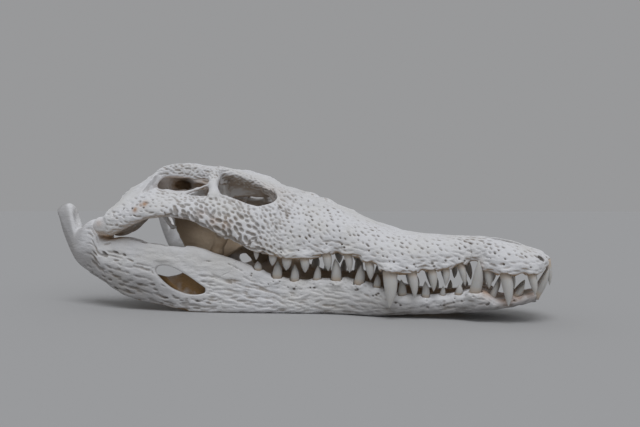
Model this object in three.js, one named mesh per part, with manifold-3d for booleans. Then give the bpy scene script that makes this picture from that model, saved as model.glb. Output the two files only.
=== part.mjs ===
// Crocodile skull with its lower jaw, adult animal, dry and bleached, jaws closed.
// Units are millimetres. +X points to the snout tip, +Y to the animal's left, +Z up.
// Stations run back from the front of the snout ("back"), sideways from the middle
// plane ("out") and up from the floor.
import * as THREE from "three";
import { LoftGeometry } from "three/addons/geometries/LoftGeometry.js";
import { mergeVertices } from "three/addons/utils/BufferGeometryUtils.js";
import Module from "manifold-3d";

const wasm = await Module();
wasm.setup();

// ---------- driving dimensions ----------
const FRONT_X = 248.5; // X of station back = 0
const GAP = 0.3; // width of the cut between two bones
const SNOUT_END = 264; // front wall of the eye opening
const ROOF_STEP = 328; // frontal meets the skull table
const TABLE_END = 402;
const PALATE_LIFT = 5; // palate above the tooth row edge
const SIDE_ROUND = 6; // height of the rounded lower side of the snout
const DOME_POWER = 2.4; // superellipse exponent of the snout
const DOME_STEPS = 5;
const CHAMBER_WALL = 4; // outer wall of the hind jaw
const WINDOW_DEPTH = 74; // the window cuts the outer wall from here outwards
const INNER_WINDOW_FROM = 55; // the inner window cuts the inner wall from here outwards
const SLOT_FLOOR = 50; // lower end of the slot in the top of the hind jaw
const FAR_OUT = 120; // beyond the widest bone
const FAR_UP = 170; // above the highest bone
const TOOTH_SIDES = 5;
const TOOTH_ROOT = 5; // length hidden in the socket
const RIGHT = -1;
const LEFT = 1;

// Outlines as [back, value] pairs, smoothly joined.
const SNOUT_TOP = track([
  [2, 54], [3.5, 57], [6, 61], [10, 64.6], [16, 66.5], [22.5, 68.2], [29, 70.9], [36, 73],
  [44, 74.6], [51, 75.9], [64, 77.3], [92, 77.5], [108, 78], [124, 79.5], [140, 82], [156, 86.5],
  [172, 91.5], [190, 99], [210, 106], [230, 113.5], [250, 120], [266, 126],
]);
const SNOUT_HALF = track([
  [2, 6], [3.5, 11], [6, 16], [10, 21.5], [16, 27], [24, 31], [34, 33], [44, 33],
  [54, 30], [60, 26], [65, 23], [70, 22.5], [75, 25], [85, 30], [100, 37], [118, 44],
  [134, 48.5], [150, 49.5], [170, 47.5], [190, 47.5], [210, 51], [235, 58], [266, 69],
]);
const SNOUT_EDGE = track([
  [2, 51.5], [4, 52.5], [9, 46.5], [14, 44], [18, 43], [24, 46], [33, 43], [44, 43],
  [52, 46.5], [60, 49], [65, 54.5], [71, 54], [76, 50], [83, 49], [90, 46.5], [105, 45],
  [112, 46], [123, 42], [133, 41.5], [146, 43], [155, 50], [168, 55], [184, 58],
  [192, 60.5], [205, 57], [216, 54], [229, 53], [243, 54], [254, 57], [266, 61],
]);
const FRONTAL_HALF = track([
  [264, 38], [270, 29], [285, 26.5], [300, 28], [315, 30], [328, 38],
]);
const FRONTAL_TOP = track([[264, 125.5], [285, 132.5], [300, 137], [318, 142], [328, 145]]);
const FRONTAL_RIM = track([[264, -7], [274, -3], [290, 2], [306, 3.5], [328, 3.5]]); // rim over middle
const TABLE_HALF = track([[328, 42], [336, 47], [350, 49.5], [384, 52], [402, 53]]);
const TABLE_TOP = track([[328, 146], [345, 149.5], [362, 152], [384, 151], [402, 147]]);
const TABLE_EDGE = track([[328, 145], [342, 148], [370, 152], [384, 150], [402, 138]]);
const TABLE_UNDER = track([
  [328, 129], [333, 129.5], [348, 131.5], [362, 134.5], [375, 135.5], [388, 134], [402, 126],
]);
const BAR_HIGH = track([
  [264, 109], [281, 111.5], [294, 114.5], [307, 116.5], [318, 117], [332, 116], [344, 117],
  [355, 119], [367, 121.5], [380, 124], [391, 117], [402, 109.5], [416, 101],
]);
const BAR_LOW = track([
  [264, 61], [278, 68], [290, 73], [304, 78.5], [320, 86], [330, 90], [340, 93], [353, 95],
  [373, 93], [391, 87], [402, 83], [416, 78],
]);
const BAR_OUT_LOW = track([
  [264, 68], [290, 77], [304, 81], [320, 85], [340, 90], [353, 92], [373, 96], [391, 98.5],
  [416, 98],
]);
const BAR_OUT_HIGH = track([
  [264, 55], [281, 59], [294, 62], [307, 65], [318, 68], [344, 72], [367, 76], [380, 79],
  [391, 84], [402, 90], [416, 95],
]);
const JAW_OUT = track([
  [11, 8], [12.5, 13], [16, 18], [20, 21], [28, 23.5], [38, 25], [48, 28], [56, 31],
  [64, 32], [74, 29.5], [84, 28], [96, 29.5], [110, 32], [125, 36], [140, 38.5],
  [156, 40], [172, 40.5], [190, 41.5], [210, 45], [230, 51], [250, 57], [268, 63],
  [286, 69], [304, 74], [322, 79], [340, 83], [358, 86.5], [376, 89], [394, 91],
  [410, 93], [436, 94], [446, 93], [458, 91], [496, 90],
]);
const JAW_IN = track([
  [11, 0.15], [76, 0.15], [84, 6], [96, 11], [110, 15], [125, 19], [140, 21], [172, 24],
  [190, 26], [210, 29], [230, 35], [250, 42], [268, 49], [286, 56], [304, 61.5],
  [322, 66.5], [340, 70], [358, 72.5], [376, 73], [394, 72], [410, 69], [422, 66],
  [440, 64], [450, 67], [465, 73], [480, 76], [496, 79],
]);
const JAW_TOP = track([
  [11, 25.5], [13, 27.5], [15, 28], [24, 26], [34, 23], [40, 21], [49, 21], [54, 27], [61, 29],
  [68, 28], [75, 27], [86, 24], [99, 23], [117, 22], [134, 23], [146, 25], [157, 30],
  [164, 32], [176, 34], [188, 36], [203, 35], [216, 34], [226, 33], [245, 35], [259, 39],
  [273, 45], [293, 53], [312, 59], [323, 63], [355, 68], [390, 72], [410, 73.5],
  [422, 73], [430, 72], [438, 73], [441, 86], [444, 91], [450, 92], [455, 91], [461, 88],
  [466, 83], [471, 82], [474, 90], [477, 100], [480, 106], [485, 109], [491, 108], [496, 104],
]);
const JAW_LOW = track([
  [11, 23.5], [13, 20.5], [16, 19], [24, 16.5], [37, 13], [50, 10.5], [70, 7], [97, 4.5],
  [121, 3], [145, 1], [160, 0], [335, 0], [348, 2], [368, 5.5], [386, 8.5], [404, 12.5],
  [419, 18.5], [432, 26], [445, 31.5], [457, 37], [470, 46], [477, 54.5], [483, 65],
  [489, 78], [493, 90], [496, 98],
]);
const JAW_KEEL = track([[360, 0.32], [400, 0.1]]); // lower corner from the outer face, of the width

const SNOUT_STATIONS = [
  2, 4, 9, 16, 24, 36, 50, 60, 66, 72, 80, 92, 108, 122, 134, 146, 156, 172, 190, 204, 220,
  242, SNOUT_END,
];
const BAR_STATIONS = [
  SNOUT_END + GAP, 278, 292, 306, 320, 334, 344, 355, 367, 380, 391, 403, 416,
];
const JAW_STATIONS = [
  11, 13, 19, 38, 49, 56, 66, 78, 92, 118, 144, 160, 184, 208, 240, 268, 300, 320, 335, 350,
  368, 390, 410, 424, 438, 442, 457, 466, 471, 474, 478, 485, 496,
];

// Teeth as [back, out, up of the socket edge, tip back, tip out, tip up, thickness].
const UPPER_TEETH = [
  [4, 7, 52, 3, 8, 34, 5], [18, 23, 43, 15, 25, 27, 7], [39.5, 27.5, 43, 37, 31.5, 17, 10.4],
  [55, 23.5, 46, 54, 25, 31, 8], [79, 22, 49, 75, 24, 32, 7], [92, 28, 46, 92, 30, 32, 7],
  [104, 33, 44.5, 102, 35, 27, 8.3], [121, 39.5, 42, 118, 42, 21, 9.2],
  [141, 44, 42.5, 140, 49, 12, 14], [161, 43, 51, 159, 45, 36, 9],
  [182, 42.5, 57.5, 180, 44, 42, 8.2], [203, 44.5, 57, 201, 46, 43, 9.4],
  [224, 50, 53, 223, 51, 41, 9.4], [241, 54.5, 53.5, 241, 55.5, 43, 10],
  [255, 58.5, 57, 255, 60, 48, 8.6], [260, 61, 59.5, 260, 62, 51.5, 6.4],
];
const LOWER_TEETH = [
  [13.5, 9.5, 26.5, 3.8, 11.5, 49, 7.4], [30.5, 17, 25, 24.2, 17, 35, 6.2],
  [52, 20.5, 22, 47, 21, 37.5, 6], [66, 26.2, 28, 62.5, 28.3, 56, 10.4],
  [81, 22.5, 24.5, 80, 23, 33, 6.9], [96, 24, 22, 95, 24.5, 31, 5.2],
  [111, 27, 21, 111, 27.5, 35, 7.7], [132, 31.5, 22, 133, 32, 36, 8.3],
  [156, 34.5, 29, 155, 34.5, 40, 7.2], [173, 35.5, 33, 171, 36, 49, 10],
  [196, 37, 35, 197, 37.5, 54, 10.6], [215, 40, 34, 214, 40, 47, 8],
  [236, 46.5, 33, 236, 46.5, 48, 9.1], [253, 51.5, 36, 252, 51.5, 51, 10.4],
  [271, 57.5, 43.5, 271, 57.5, 51, 8.4],
];

// ---------- helpers ----------
// Smooth curve through [station, value] pairs, with no overshoot between them.
function track(pairs) {
  const slope = pairs.map((p, i) => {
    if (i === 0 || i === pairs.length - 1) return 0;
    const before = (p[1] - pairs[i - 1][1]) / (p[0] - pairs[i - 1][0]);
    const after = (pairs[i + 1][1] - p[1]) / (pairs[i + 1][0] - p[0]);
    return before * after > 0 ? (2 * before * after) / (before + after) : 0;
  });
  return (s) => {
    const last = pairs.length - 1;
    if (s <= pairs[0][0]) return pairs[0][1];
    if (s >= pairs[last][0]) return pairs[last][1];
    const i = pairs.findIndex((p) => p[0] > s) - 1;
    const width = pairs[i + 1][0] - pairs[i][0];
    const t = (s - pairs[i][0]) / width;
    const u = 1 - t;
    return (
      pairs[i][1] * u * u * (1 + 2 * t) +
      pairs[i + 1][1] * t * t * (3 - 2 * t) +
      width * t * u * (slope[i] * u - slope[i + 1] * t)
    );
  };
}

const place = (back, out, up, side = LEFT) =>
  new THREE.Vector3(FRONT_X - back, side * out, up);

// A closed three.js geometry as a solid facing outwards.
function solid(geometry) {
  const bare = new THREE.BufferGeometry();
  bare.setAttribute("position", geometry.getAttribute("position"));
  bare.setIndex(geometry.getIndex());
  const merged = mergeVertices(bare, 1e-4);
  const verts = merged.attributes.position.array;
  const tris = new Uint32Array(merged.index.array);
  const at = (i) => new THREE.Vector3().fromArray(verts, 3 * i);
  let volume = 0;
  for (let i = 0; i < tris.length; i += 3) {
    volume += at(tris[i]).dot(at(tris[i + 1]).cross(at(tris[i + 2])));
  }
  if (volume < 0) {
    for (let i = 0; i < tris.length; i += 3) {
      [tris[i], tris[i + 1]] = [tris[i + 1], tris[i]];
    }
  }
  return new wasm.Manifold(
    new wasm.Mesh({ numProp: 3, vertProperties: verts, triVerts: tris }),
  );
}

const unite = (list) => list.reduce((a, b) => a.add(b));

// The biggest body of a solid, so that a cut leaves no crumbs behind.
const mainBody = (body) =>
  body.decompose().reduce((a, b) => (b.volume() > a.volume() ? b : a));

// Moves each [out, up] corner of a section outwards by "grow".
function grown(section, grow) {
  if (!grow) return section;
  const turn = THREE.ShapeUtils.area(section.map((p) => new THREE.Vector2(...p))) > 0 ? 1 : -1;
  const n = section.length;
  return section.map(([x, y], i) => {
    const a = section[(i + n - 1) % n];
    const b = section[(i + 1) % n];
    const length = Math.hypot(b[0] - a[0], b[1] - a[1]) || 1;
    return [
      x + (grow * turn * (b[1] - a[1])) / length,
      y - (grow * turn * (b[0] - a[0])) / length,
    ];
  });
}

// A body lofted along the skull through sections of [out, up] corners.
function body(stations, sectionAt, side = LEFT, grow = 0) {
  const last = stations.length - 1;
  const area = THREE.ShapeUtils.area(
    sectionAt(stations[0]).map(([out, up]) => new THREE.Vector2(-side * out, up)),
  );
  const rings = stations.map((back, i) => {
    const ends = (i === 0 ? -grow : 0) + (i === last ? grow : 0);
    const ring = grown(sectionAt(back), grow).map(([out, up]) => place(back + ends, out, up, side));
    return area > 0 ? ring : ring.reverse();
  });
  return solid(new LoftGeometry(rings, { closed: true, capStart: true, capEnd: true }));
}

// A right and left section from the corners of one half, given from top to bottom.
const bothHalves = (half) => [
  ...half,
  ...half.slice().reverse().filter((p) => p[0] > 0.01).map(([out, up]) => [-out, up]),
];

// A round strut between two [back, out, up] places.
function strut(from, to, fromRadius, toRadius, side, grow = 0) {
  const a = place(...from, side);
  const b = place(...to, side);
  const axis = b.clone().sub(a);
  const g = new THREE.CylinderGeometry(
    toRadius + grow, fromRadius + grow, axis.length() + 2 * grow, 6, 1,
  );
  g.applyQuaternion(
    new THREE.Quaternion().setFromUnitVectors(new THREE.Vector3(0, 1, 0), axis.clone().normalize()),
  );
  g.translate(...a.add(b).multiplyScalar(0.5));
  return solid(g);
}

// An upright prism over an outline of [back, out] corners.
function prism(outline, low, high) {
  const shape = new THREE.Shape(outline.map(([b, o]) => new THREE.Vector2(FRONT_X - b, o)));
  const g = new THREE.ExtrudeGeometry(shape, { depth: high - low, bevelEnabled: false });
  g.translate(0, 0, low);
  return solid(g);
}

// A sideways prism over an outline of [back, up] corners, between two "out" distances.
function sidePrism(outline, near, far, side) {
  const shape = new THREE.Shape(outline.map(([b, u]) => new THREE.Vector2(FRONT_X - b, u)));
  const g = new THREE.ExtrudeGeometry(shape, { depth: far - near, bevelEnabled: false });
  g.rotateX(Math.PI / 2);
  g.translate(0, side < 0 ? -near : far, 0);
  return solid(g);
}

const oval = (back, across, length, width, steps, turn = 0) =>
  Array.from({ length: steps }, (_, i) => {
    const a = (2 * Math.PI * i) / steps;
    const x = (length / 2) * Math.cos(a);
    const y = (width / 2) * Math.sin(a);
    return [
      back + x * Math.cos(turn) - y * Math.sin(turn),
      across + x * Math.sin(turn) + y * Math.cos(turn),
    ];
  });

// A tooth: a pointed loft from inside the socket to the tip, bent a little backwards.
function tooth([back, out, up, tipBack, tipOut, tipUp, thick], side) {
  const root = place(back, out, up, side);
  const tip = place(tipBack, tipOut, tipUp, side);
  const axis = tip.clone().sub(root);
  const length = axis.length();
  const bend = 0.05 * length;
  const profile = [
    [-TOOTH_ROOT / length, 0.52], [0.5, 0.4], [1, 0.05],
  ];
  const way = axis.normalize();
  const across = new THREE.Vector3(0, 1, 0).cross(way).normalize();
  const third = way.clone().cross(across);
  const rings = profile.map(([t, radius]) =>
    Array.from({ length: TOOTH_SIDES }, (_, i) => {
      const a = (2 * Math.PI * i) / TOOTH_SIDES;
      return root
        .clone()
        .addScaledVector(way, t * length)
        .addScaledVector(across, radius * thick * Math.cos(a))
        .addScaledVector(third, radius * thick * Math.sin(a))
        .add(new THREE.Vector3(bend * 4 * Math.max(t, 0) * (1 - t), 0, 0));
    }),
  );
  return solid(new LoftGeometry(rings, { closed: true, capStart: true, capEnd: true }));
}

// ---------- cranium ----------
// Snout: superellipse roof, rounded lower side, slightly vaulted palate.
function snoutHalf(back, half = SNOUT_HALF(back)) {
  const top = SNOUT_TOP(back);
  const edge = SNOUT_EDGE(back);
  const foot = Math.min(edge + SIDE_ROUND, (top + edge) / 2);
  const corners = [];
  for (let i = 0; i <= DOME_STEPS; i++) {
    const a = (Math.PI / 2) * (i / DOME_STEPS);
    corners.push([
      half * Math.sin(a) ** (2 / DOME_POWER),
      foot + (top - foot) * Math.cos(a) ** (2 / DOME_POWER),
    ]);
  }
  corners[0][0] = 0;
  const lift = Math.min(PALATE_LIFT, (top - edge) / 3);
  corners.push([half * 0.95, edge], [half * 0.72, edge + 0.4], [half * 0.5, edge + lift]);
  corners.push([0, edge + lift + 1]);
  return corners;
}
const snout = (grow = 0) =>
  body(SNOUT_STATIONS, (b) => bothHalves(snoutHalf(b)), LEFT, grow);

const NASAL_HALF = track([[60, 4], [96, 9], [150, 10], [210, 13], [250, 13], [264, 8]]);
const nasalStrip = (grow) =>
  body(
    [62, 96, 140, 190, 250],
    (b) => bothHalves([
      [0, SNOUT_TOP(b) + 6], [NASAL_HALF(b), SNOUT_TOP(b) + 6],
      [NASAL_HALF(b), SNOUT_TOP(b) - 7], [0, SNOUT_TOP(b) - 7],
    ]),
    LEFT,
    grow,
  );

function frontalHalf(back) {
  const half = FRONTAL_HALF(back);
  const top = FRONTAL_TOP(back);
  const rim = top + FRONTAL_RIM(back);
  return [
    [0, top], [half * 0.5, top + 0.5], [half * 0.82, rim], [half, rim - 3.5],
    [half + 1, rim - 8], [half - 5, rim - 12], [15, top - 14], [12, 119], [9, 119],
    [7, top - 13], [0, top - 13],
  ];
}
const frontal = (grow = 0) =>
  body(
    [SNOUT_END + GAP, 270, 285, 300, 315, ROOF_STEP],
    (b) => bothHalves(frontalHalf(b)),
    LEFT,
    grow,
  );

// Jugal and quadratojugal: the deep outer bar under the eye, up to the jaw joint.
function barSection(back) {
  const low = BAR_LOW(back);
  const high = BAR_HIGH(back);
  const outLow = BAR_OUT_LOW(back);
  const outHigh = BAR_OUT_HIGH(back);
  const tall = high - low;
  return [
    [outHigh - 3, high], [outHigh + 1, high - 3],
    [outHigh + 0.55 * (outLow - outHigh) + 4, high - 0.35 * tall],
    [outLow + 1.5, low + 0.3 * tall], [outLow, low + 2], [outLow - 4, low],
    [outLow - 9, low + 3], [outLow - 8, low + 0.35 * tall],
    [outHigh - 5, high - 0.3 * tall], [outHigh - 7, high - 2.5],
  ];
}
const bar = (side, grow = 0) => body(BAR_STATIONS, barSection, side, grow);

// Skull table with its two openings, squamosal prongs, braincase and eye-rear pillar.
function tableHalf(back) {
  const top = TABLE_TOP(back);
  const edge = TABLE_EDGE(back);
  const half = TABLE_HALF(back);
  const under = TABLE_UNDER(back);
  return [
    [0, top], [half * 0.6, top], [half - 3, edge], [half, edge - 3], [half - 1, under + 2],
    [half - 5, under], [half * 0.6, top - 14], [0, top - 14],
  ];
}
const BRAINCASE = [
  // back, half width high, half width low, floor
  [ROOF_STEP + GAP, 28, 26, 112], [340, 24, 22, 100], [352, 20, 14, 86], [366, 20, 12, 76],
  [380, 24, 14, 73], [388, 40, 17, 74], [396, 50, 18, 78], [403, 48, 16, 90],
];
function braincaseHalf(back) {
  const [, high, low, floor] = BRAINCASE.find((row) => row[0] === back);
  const top = TABLE_TOP(back) - 8;
  return [
    [0, top], [high, Math.min(top, TABLE_EDGE(back) - 6)], [high * 0.96, 122],
    [Math.max(low, high * 0.5), Math.max(108, floor + 2)], [low, floor + 2], [low * 0.6, floor],
    [0, floor],
  ];
}
const PRONG = [
  // back, inner, outer, top, floor
  [396, 38, 52.5, 142, 116], [408, 42, 54.5, 135, 108], [420, 46, 56, 128, 98],
  [431, 50, 57, 122, 91], [438, 53, 57, 117, 90],
];
function prongSection(back) {
  const [, inner, outer, top, floor] = PRONG.find((row) => row[0] === back);
  return [
    [inner, top - 1], [(inner + outer) / 2, top], [outer, top - 3], [outer, floor + 2],
    [(inner + outer) / 2, floor], [inner, floor + 2],
  ];
}
function table(grow = 0) {
  const plate = body(
    [ROOF_STEP + GAP, 336, 345, 356, 370, 384, 394, TABLE_END],
    (b) => bothHalves(tableHalf(b)),
    LEFT,
    grow,
  );
  const openings = [RIGHT, LEFT].map((s) =>
    prism(oval(359, s * 22, 27 - 2 * grow, 17 - 2 * grow, 9, s * 0.35), 128, 160),
  );
  const core = body(BRAINCASE.map((row) => row[0]), (b) => bothHalves(braincaseHalf(b)), LEFT, grow);
  const prongs = [RIGHT, LEFT].map((s) => body(PRONG.map((row) => row[0]), prongSection, s, grow));
  const pillars = [RIGHT, LEFT].map((s) => strut([333, 43, 138], [315, 65, 115], 6.5, 5.2, s, grow));
  const neckBall = new THREE.SphereGeometry(8.5 + grow, 7, 5).scale(0.9, 1.15, 1);
  neckBall.translate(FRONT_X - 405, 0, 100);
  const holed = openings.reduce((a, b) => a.subtract(b), plate);
  return unite([holed, core, ...prongs, ...pillars, solid(neckBall)]);
}

// Quadrate: the sloping shelf from the braincase back and out to the jaw joint.
const QUADRATE = [
  // back, inner, inner top, inner floor, outer, outer top, outer floor
  [352, 18, 124, 114, 66, 116, 110], [367, 20, 126, 114, 70, 120, 112],
  [380, 30, 125, 110, 75, 122, 110], [391, 42, 122, 104, 80, 117, 103],
  [403, 50, 117, 94, 86, 110, 90], [416.3, 56, 108, 80, 94, 102, 78.5],
  [425, 60, 100, 75.5, 97.5, 97, 76.5], [434, 64, 92, 75, 99, 91, 78],
  [438.3, 68, 86, 77, 97, 88, 81.5],
];
function quadrateSection(back) {
  const [, inner, innerTop, innerLow, outer, outerTop, outerLow] = QUADRATE.find(
    (row) => row[0] === back,
  );
  const middle = (inner + outer) / 2;
  return [
    [inner, innerTop - 2], [inner + 4, innerTop], [middle, (innerTop + outerTop) / 2 + 1],
    [outer - 3, outerTop], [outer, outerTop - 3], [outer - 2, outerLow], [inner + 4, innerLow],
    [inner, innerLow + 2],
  ];
}
// Slope from the hind corner of the skull table down to the cheek bar.
function slopeSection(back) {
  const [, inner, , top, floor] = PRONG.find((row) => row[0] === back);
  const outer = BAR_OUT_HIGH(back);
  const high = BAR_HIGH(back);
  const middle = (inner + outer) / 2;
  return [
    [inner - 5, top - 3], [middle, (top + high) / 2 - 2], [outer, high], [outer - 3, high - 8],
    [middle, (floor + high) / 2 - 8], [inner - 5, floor],
  ];
}
const quadrate = (side, grow = 0) =>
  body(QUADRATE.map((row) => row[0]), quadrateSection, side, grow).add(
    body([396, 408, 420], slopeSection, side, grow),
  );

// Palatines: the narrow floor between the two big palate openings.
const palatines = (grow = 0) =>
  body(
    [SNOUT_END + GAP, 280, 296, 312],
    (b) => {
      const half = b < 270 ? 22 : b < 300 ? 15 : 20;
      return bothHalves([[0, 76], [half * 0.7, 74], [half, 67], [half * 0.8, 60], [0, 59]]);
    },
    LEFT,
    grow,
  );

// Pterygoid wing with the ectopterygoid that props it against the jugal.
const WING = [
  // back, upper middle, lateral edge, lateral height
  [302, 74, 24, 66], [312, 76, 46, 56], [324, 79, 61, 44], [336, 83, 65, 40],
  [346, 87, 64, 51], [354, 90, 60, 64], [362, 94, 55, 73], [371, 97, 49, 81],
  [380, 99, 41, 89], [387, 100, 34, 95],
];
function wingSection(back) {
  const [, middle, edge, height] = WING.find((row) => row[0] === back);
  const thick = 5;
  const drop = middle - height;
  return [
    [0.15, middle], [edge * 0.45, middle - 0.42 * drop], [edge * 0.8, middle - 0.8 * drop],
    [edge, height], [edge - 1.5, height - thick + 1], [edge * 0.78 - 2, middle - 0.8 * drop - thick],
    [edge * 0.42, middle - 0.42 * drop - thick], [0.15, middle - thick - 1],
  ];
}
function wing(side) {
  const plate = body(WING.map((row) => row[0]), wingSection, side);
  const prop = strut([300, 71, 90], [323, 53, 48], 6, 4.5, side);
  return plate.add(prop);
}

// ---------- lower jaw ----------
function jawSection(back) {
  const outer = JAW_OUT(back);
  const inner = JAW_IN(back);
  const low = JAW_LOW(back);
  const high = JAW_TOP(back);
  const tall = high - low;
  const wide = outer - inner;
  return [
    [outer - 0.2 * wide, high], [outer - 0.02 * wide, high - 0.2 * tall],
    [outer, low + 0.45 * tall], [outer - 0.09 * wide, low + 0.16 * tall],
    [outer - JAW_KEEL(back) * wide, low], [inner + 0.22 * wide, low], [inner, low + 0.25 * tall],
    [inner + 0.02 * wide, high - 0.2 * tall], [inner + 0.25 * wide, high],
  ];
}
const CHAMBER = [[300, 12], [318, 10], [340, 10], [362, 14], [384, 22], [404, 34]];
function chamberSection(back) {
  const floor = CHAMBER.find((row) => row[0] === back)[1];
  const roof = JAW_TOP(back) - 9;
  const outer = JAW_OUT(back) - CHAMBER_WALL;
  const inner = JAW_IN(back) + CHAMBER_WALL;
  return [[outer, floor + 3], [outer - 1, roof], [inner + 1, roof], [inner, floor + 3]];
}
// Outline of the window in the outer side of the hind jaw, as [back, up].
const WINDOW = [
  [371, 42], [364, 45], [354, 44], [344, 39.5], [335, 35], [326, 29], [319, 24], [321, 20],
  [330, 18], [341, 19.5], [355, 25], [366, 35],
];
const INNER_WINDOW = [[396, 44], [388, 54], [350, 52], [340, 44], [352, 36], [380, 34]];
const TOP_SLOT = (side) => [
  [344, side * 74], [344, side * 79], [372, side * 85], [400, side * 86], [404, side * 80],
  [398, side * 76], [370, side * 76],
];
function ramus(side) {
  const whole = body(JAW_STATIONS, jawSection, side);
  const chamber = body(CHAMBER.map((row) => row[0]), chamberSection, side);
  const cuts = [
    chamber,
    sidePrism(WINDOW, WINDOW_DEPTH, FAR_OUT, side),
    sidePrism(INNER_WINDOW, INNER_WINDOW_FROM, WINDOW_DEPTH + 6, side),
    prism(TOP_SLOT(side), SLOT_FLOOR, FAR_UP),
  ];
  return cuts.reduce((a, b) => a.subtract(b), whole);
}
// Seam between the dentary and the bones of the hind jaw, as [back, up].
const SEAM = [[288, 120], [288, 52], [296, 40], [316, 30], [306, 14], [292, -20]];
function jawHalf(side) {
  const whole = ramus(side);
  const ahead = sidePrism([...SEAM, [-20, -20], [-20, 120]], -5, 120, side);
  const behind = sidePrism(
    [...SEAM.map(([b, u]) => [b + GAP * 1.3, u]), [540, -20], [540, 120]], -5, 120, side,
  );
  const teeth = LOWER_TEETH.map((row) => tooth(row, side));
  return {
    dentary: mainBody(whole.intersect(ahead)).add(unite(teeth)),
    hind: mainBody(whole.intersect(behind)),
  };
}

// ---------- parting the cranium into bones ----------
const naris = prism(oval(43, 0, 34, 25, 10), 60, 90);
const wholeSnout = snout().subtract(naris);
const PREMAXILLA_SEAM = [[66, 60], [67, 30], [70, 20], [84, 12], [95, 5]];
const premaxillaOutline = (shift) => {
  const rightSide = PREMAXILLA_SEAM.map(([b, o]) => [b + shift, -o]);
  const leftSide = PREMAXILLA_SEAM.map(([b, o]) => [b + shift, o]).reverse();
  return [[-30, -60], ...rightSide, ...leftSide, [-30, 60]];
};
const nasal = mainBody(wholeSnout.intersect(nasalStrip(0)));
const withoutNasal = wholeSnout.subtract(nasalStrip(GAP));
const premaxillaZone = prism(premaxillaOutline(0), 0, FAR_UP);
const premaxillaKeepOut = prism(premaxillaOutline(GAP), 0, FAR_UP);
const halfSpace = (side) =>
  prism(
    [[-40, side * GAP * 0.5], [300, side * GAP * 0.5], [300, side * FAR_OUT], [-40, side * FAR_OUT]],
    0,
    FAR_UP,
  );
const upperTeeth = (side, from, to) =>
  unite(UPPER_TEETH.slice(from, to).map((row) => tooth(row, side)));
const FRONT_TEETH = 4;

const premaxilla = mainBody(withoutNasal.intersect(premaxillaZone)).add(
  upperTeeth(RIGHT, 0, FRONT_TEETH).add(upperTeeth(LEFT, 0, FRONT_TEETH)),
);
const maxilla = (side) =>
  mainBody(withoutNasal.subtract(premaxillaKeepOut).intersect(halfSpace(side))).add(
    upperTeeth(side, FRONT_TEETH),
  );

const tableBody = mainBody(table().subtract(bar(RIGHT, GAP)).subtract(bar(LEFT, GAP)));
const tableKeepOut = table(GAP);
const quadrateBone = (side) =>
  mainBody(quadrate(side).subtract(tableKeepOut).subtract(bar(side, GAP)));
const wingBone = (side) =>
  mainBody(
    wing(side)
      .subtract(tableKeepOut)
      .subtract(palatines(GAP))
      .subtract(bar(side, GAP))
      .subtract(quadrate(side, GAP)),
  );
const jawRight = jawHalf(RIGHT);
const jawLeft = jawHalf(LEFT);

// ---------- meshes ----------
const BONE = { color: 0xe4e0d6, roughness: 0.75, metalness: 0 };
const TANNED = { color: 0xcdb793, roughness: 0.8, metalness: 0 };

function mesh(name, manifold, look) {
  const out = manifold.getMesh();
  const g = new THREE.BufferGeometry();
  g.setAttribute("position", new THREE.BufferAttribute(new Float32Array(out.vertProperties), 3));
  g.setIndex(new THREE.BufferAttribute(new Uint32Array(out.triVerts), 1));
  g.computeVertexNormals();
  const made = new THREE.Mesh(g, new THREE.MeshStandardMaterial(look));
  made.name = name;
  return made;
}

const skull = new THREE.Group();
skull.name = "crocodile_skull";
skull.add(
  mesh("premaxilla", premaxilla, BONE),
  mesh("nasal", nasal, BONE),
  mesh("maxilla_right", maxilla(RIGHT), BONE),
  mesh("maxilla_left", maxilla(LEFT), BONE),
  mesh("frontal", frontal(), BONE),
  mesh("skull_table", tableBody, BONE),
  mesh("jugal_right", bar(RIGHT), BONE),
  mesh("jugal_left", bar(LEFT), BONE),
  mesh("quadrate_right", quadrateBone(RIGHT), BONE),
  mesh("quadrate_left", quadrateBone(LEFT), BONE),
  mesh("palatines", palatines(), TANNED),
  mesh("pterygoid_right", wingBone(RIGHT), TANNED),
  mesh("pterygoid_left", wingBone(LEFT), TANNED),
  mesh("dentary_right", jawRight.dentary, BONE),
  mesh("dentary_left", jawLeft.dentary, BONE),
  mesh("hind_jaw_right", jawRight.hind, BONE),
  mesh("hind_jaw_left", jawLeft.hind, BONE),
);

export default skull;
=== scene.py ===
"""Crocodile skull with its lower jaw: visual model, one piece per bone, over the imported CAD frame.

Shapes are built on a regular grid of distances in millimetres, along three directions:
"back" from the front of the snout, "side" from the middle plane (right side positive) and
"up" from the floor. Bones are lofts, rods and balls that are joined and cut with rounded
edges. Pits, furrows and sockets are then carved, and each bone is meshed on its own.
"""
import math
from itertools import pairwise
import bpy
import numpy as np
import openvdb as vdb
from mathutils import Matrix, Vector, kdtree


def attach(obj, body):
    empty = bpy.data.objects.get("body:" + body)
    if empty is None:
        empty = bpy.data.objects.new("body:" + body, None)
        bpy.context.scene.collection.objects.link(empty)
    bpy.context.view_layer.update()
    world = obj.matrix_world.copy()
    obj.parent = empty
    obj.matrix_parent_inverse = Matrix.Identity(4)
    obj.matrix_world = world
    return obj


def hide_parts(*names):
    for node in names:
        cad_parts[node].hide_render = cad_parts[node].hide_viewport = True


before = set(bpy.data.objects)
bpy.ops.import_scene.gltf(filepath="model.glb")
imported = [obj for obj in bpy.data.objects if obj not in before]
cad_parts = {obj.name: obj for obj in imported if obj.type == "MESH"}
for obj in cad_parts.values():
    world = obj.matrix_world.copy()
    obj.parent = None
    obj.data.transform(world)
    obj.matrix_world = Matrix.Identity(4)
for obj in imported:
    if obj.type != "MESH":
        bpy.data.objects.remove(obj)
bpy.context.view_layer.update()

# ---------- grid ----------
STEP = 0.8
BAND = 8
FAR = BAND * STEP
FRONT_X = 248.5
MM = 0.001
BACK_LOW, BACK_HIGH = -6.0, 504.0
SIDE_HIGH = 106.0
UP_LOW, UP_HIGH = -4.0, 159.0


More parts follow.
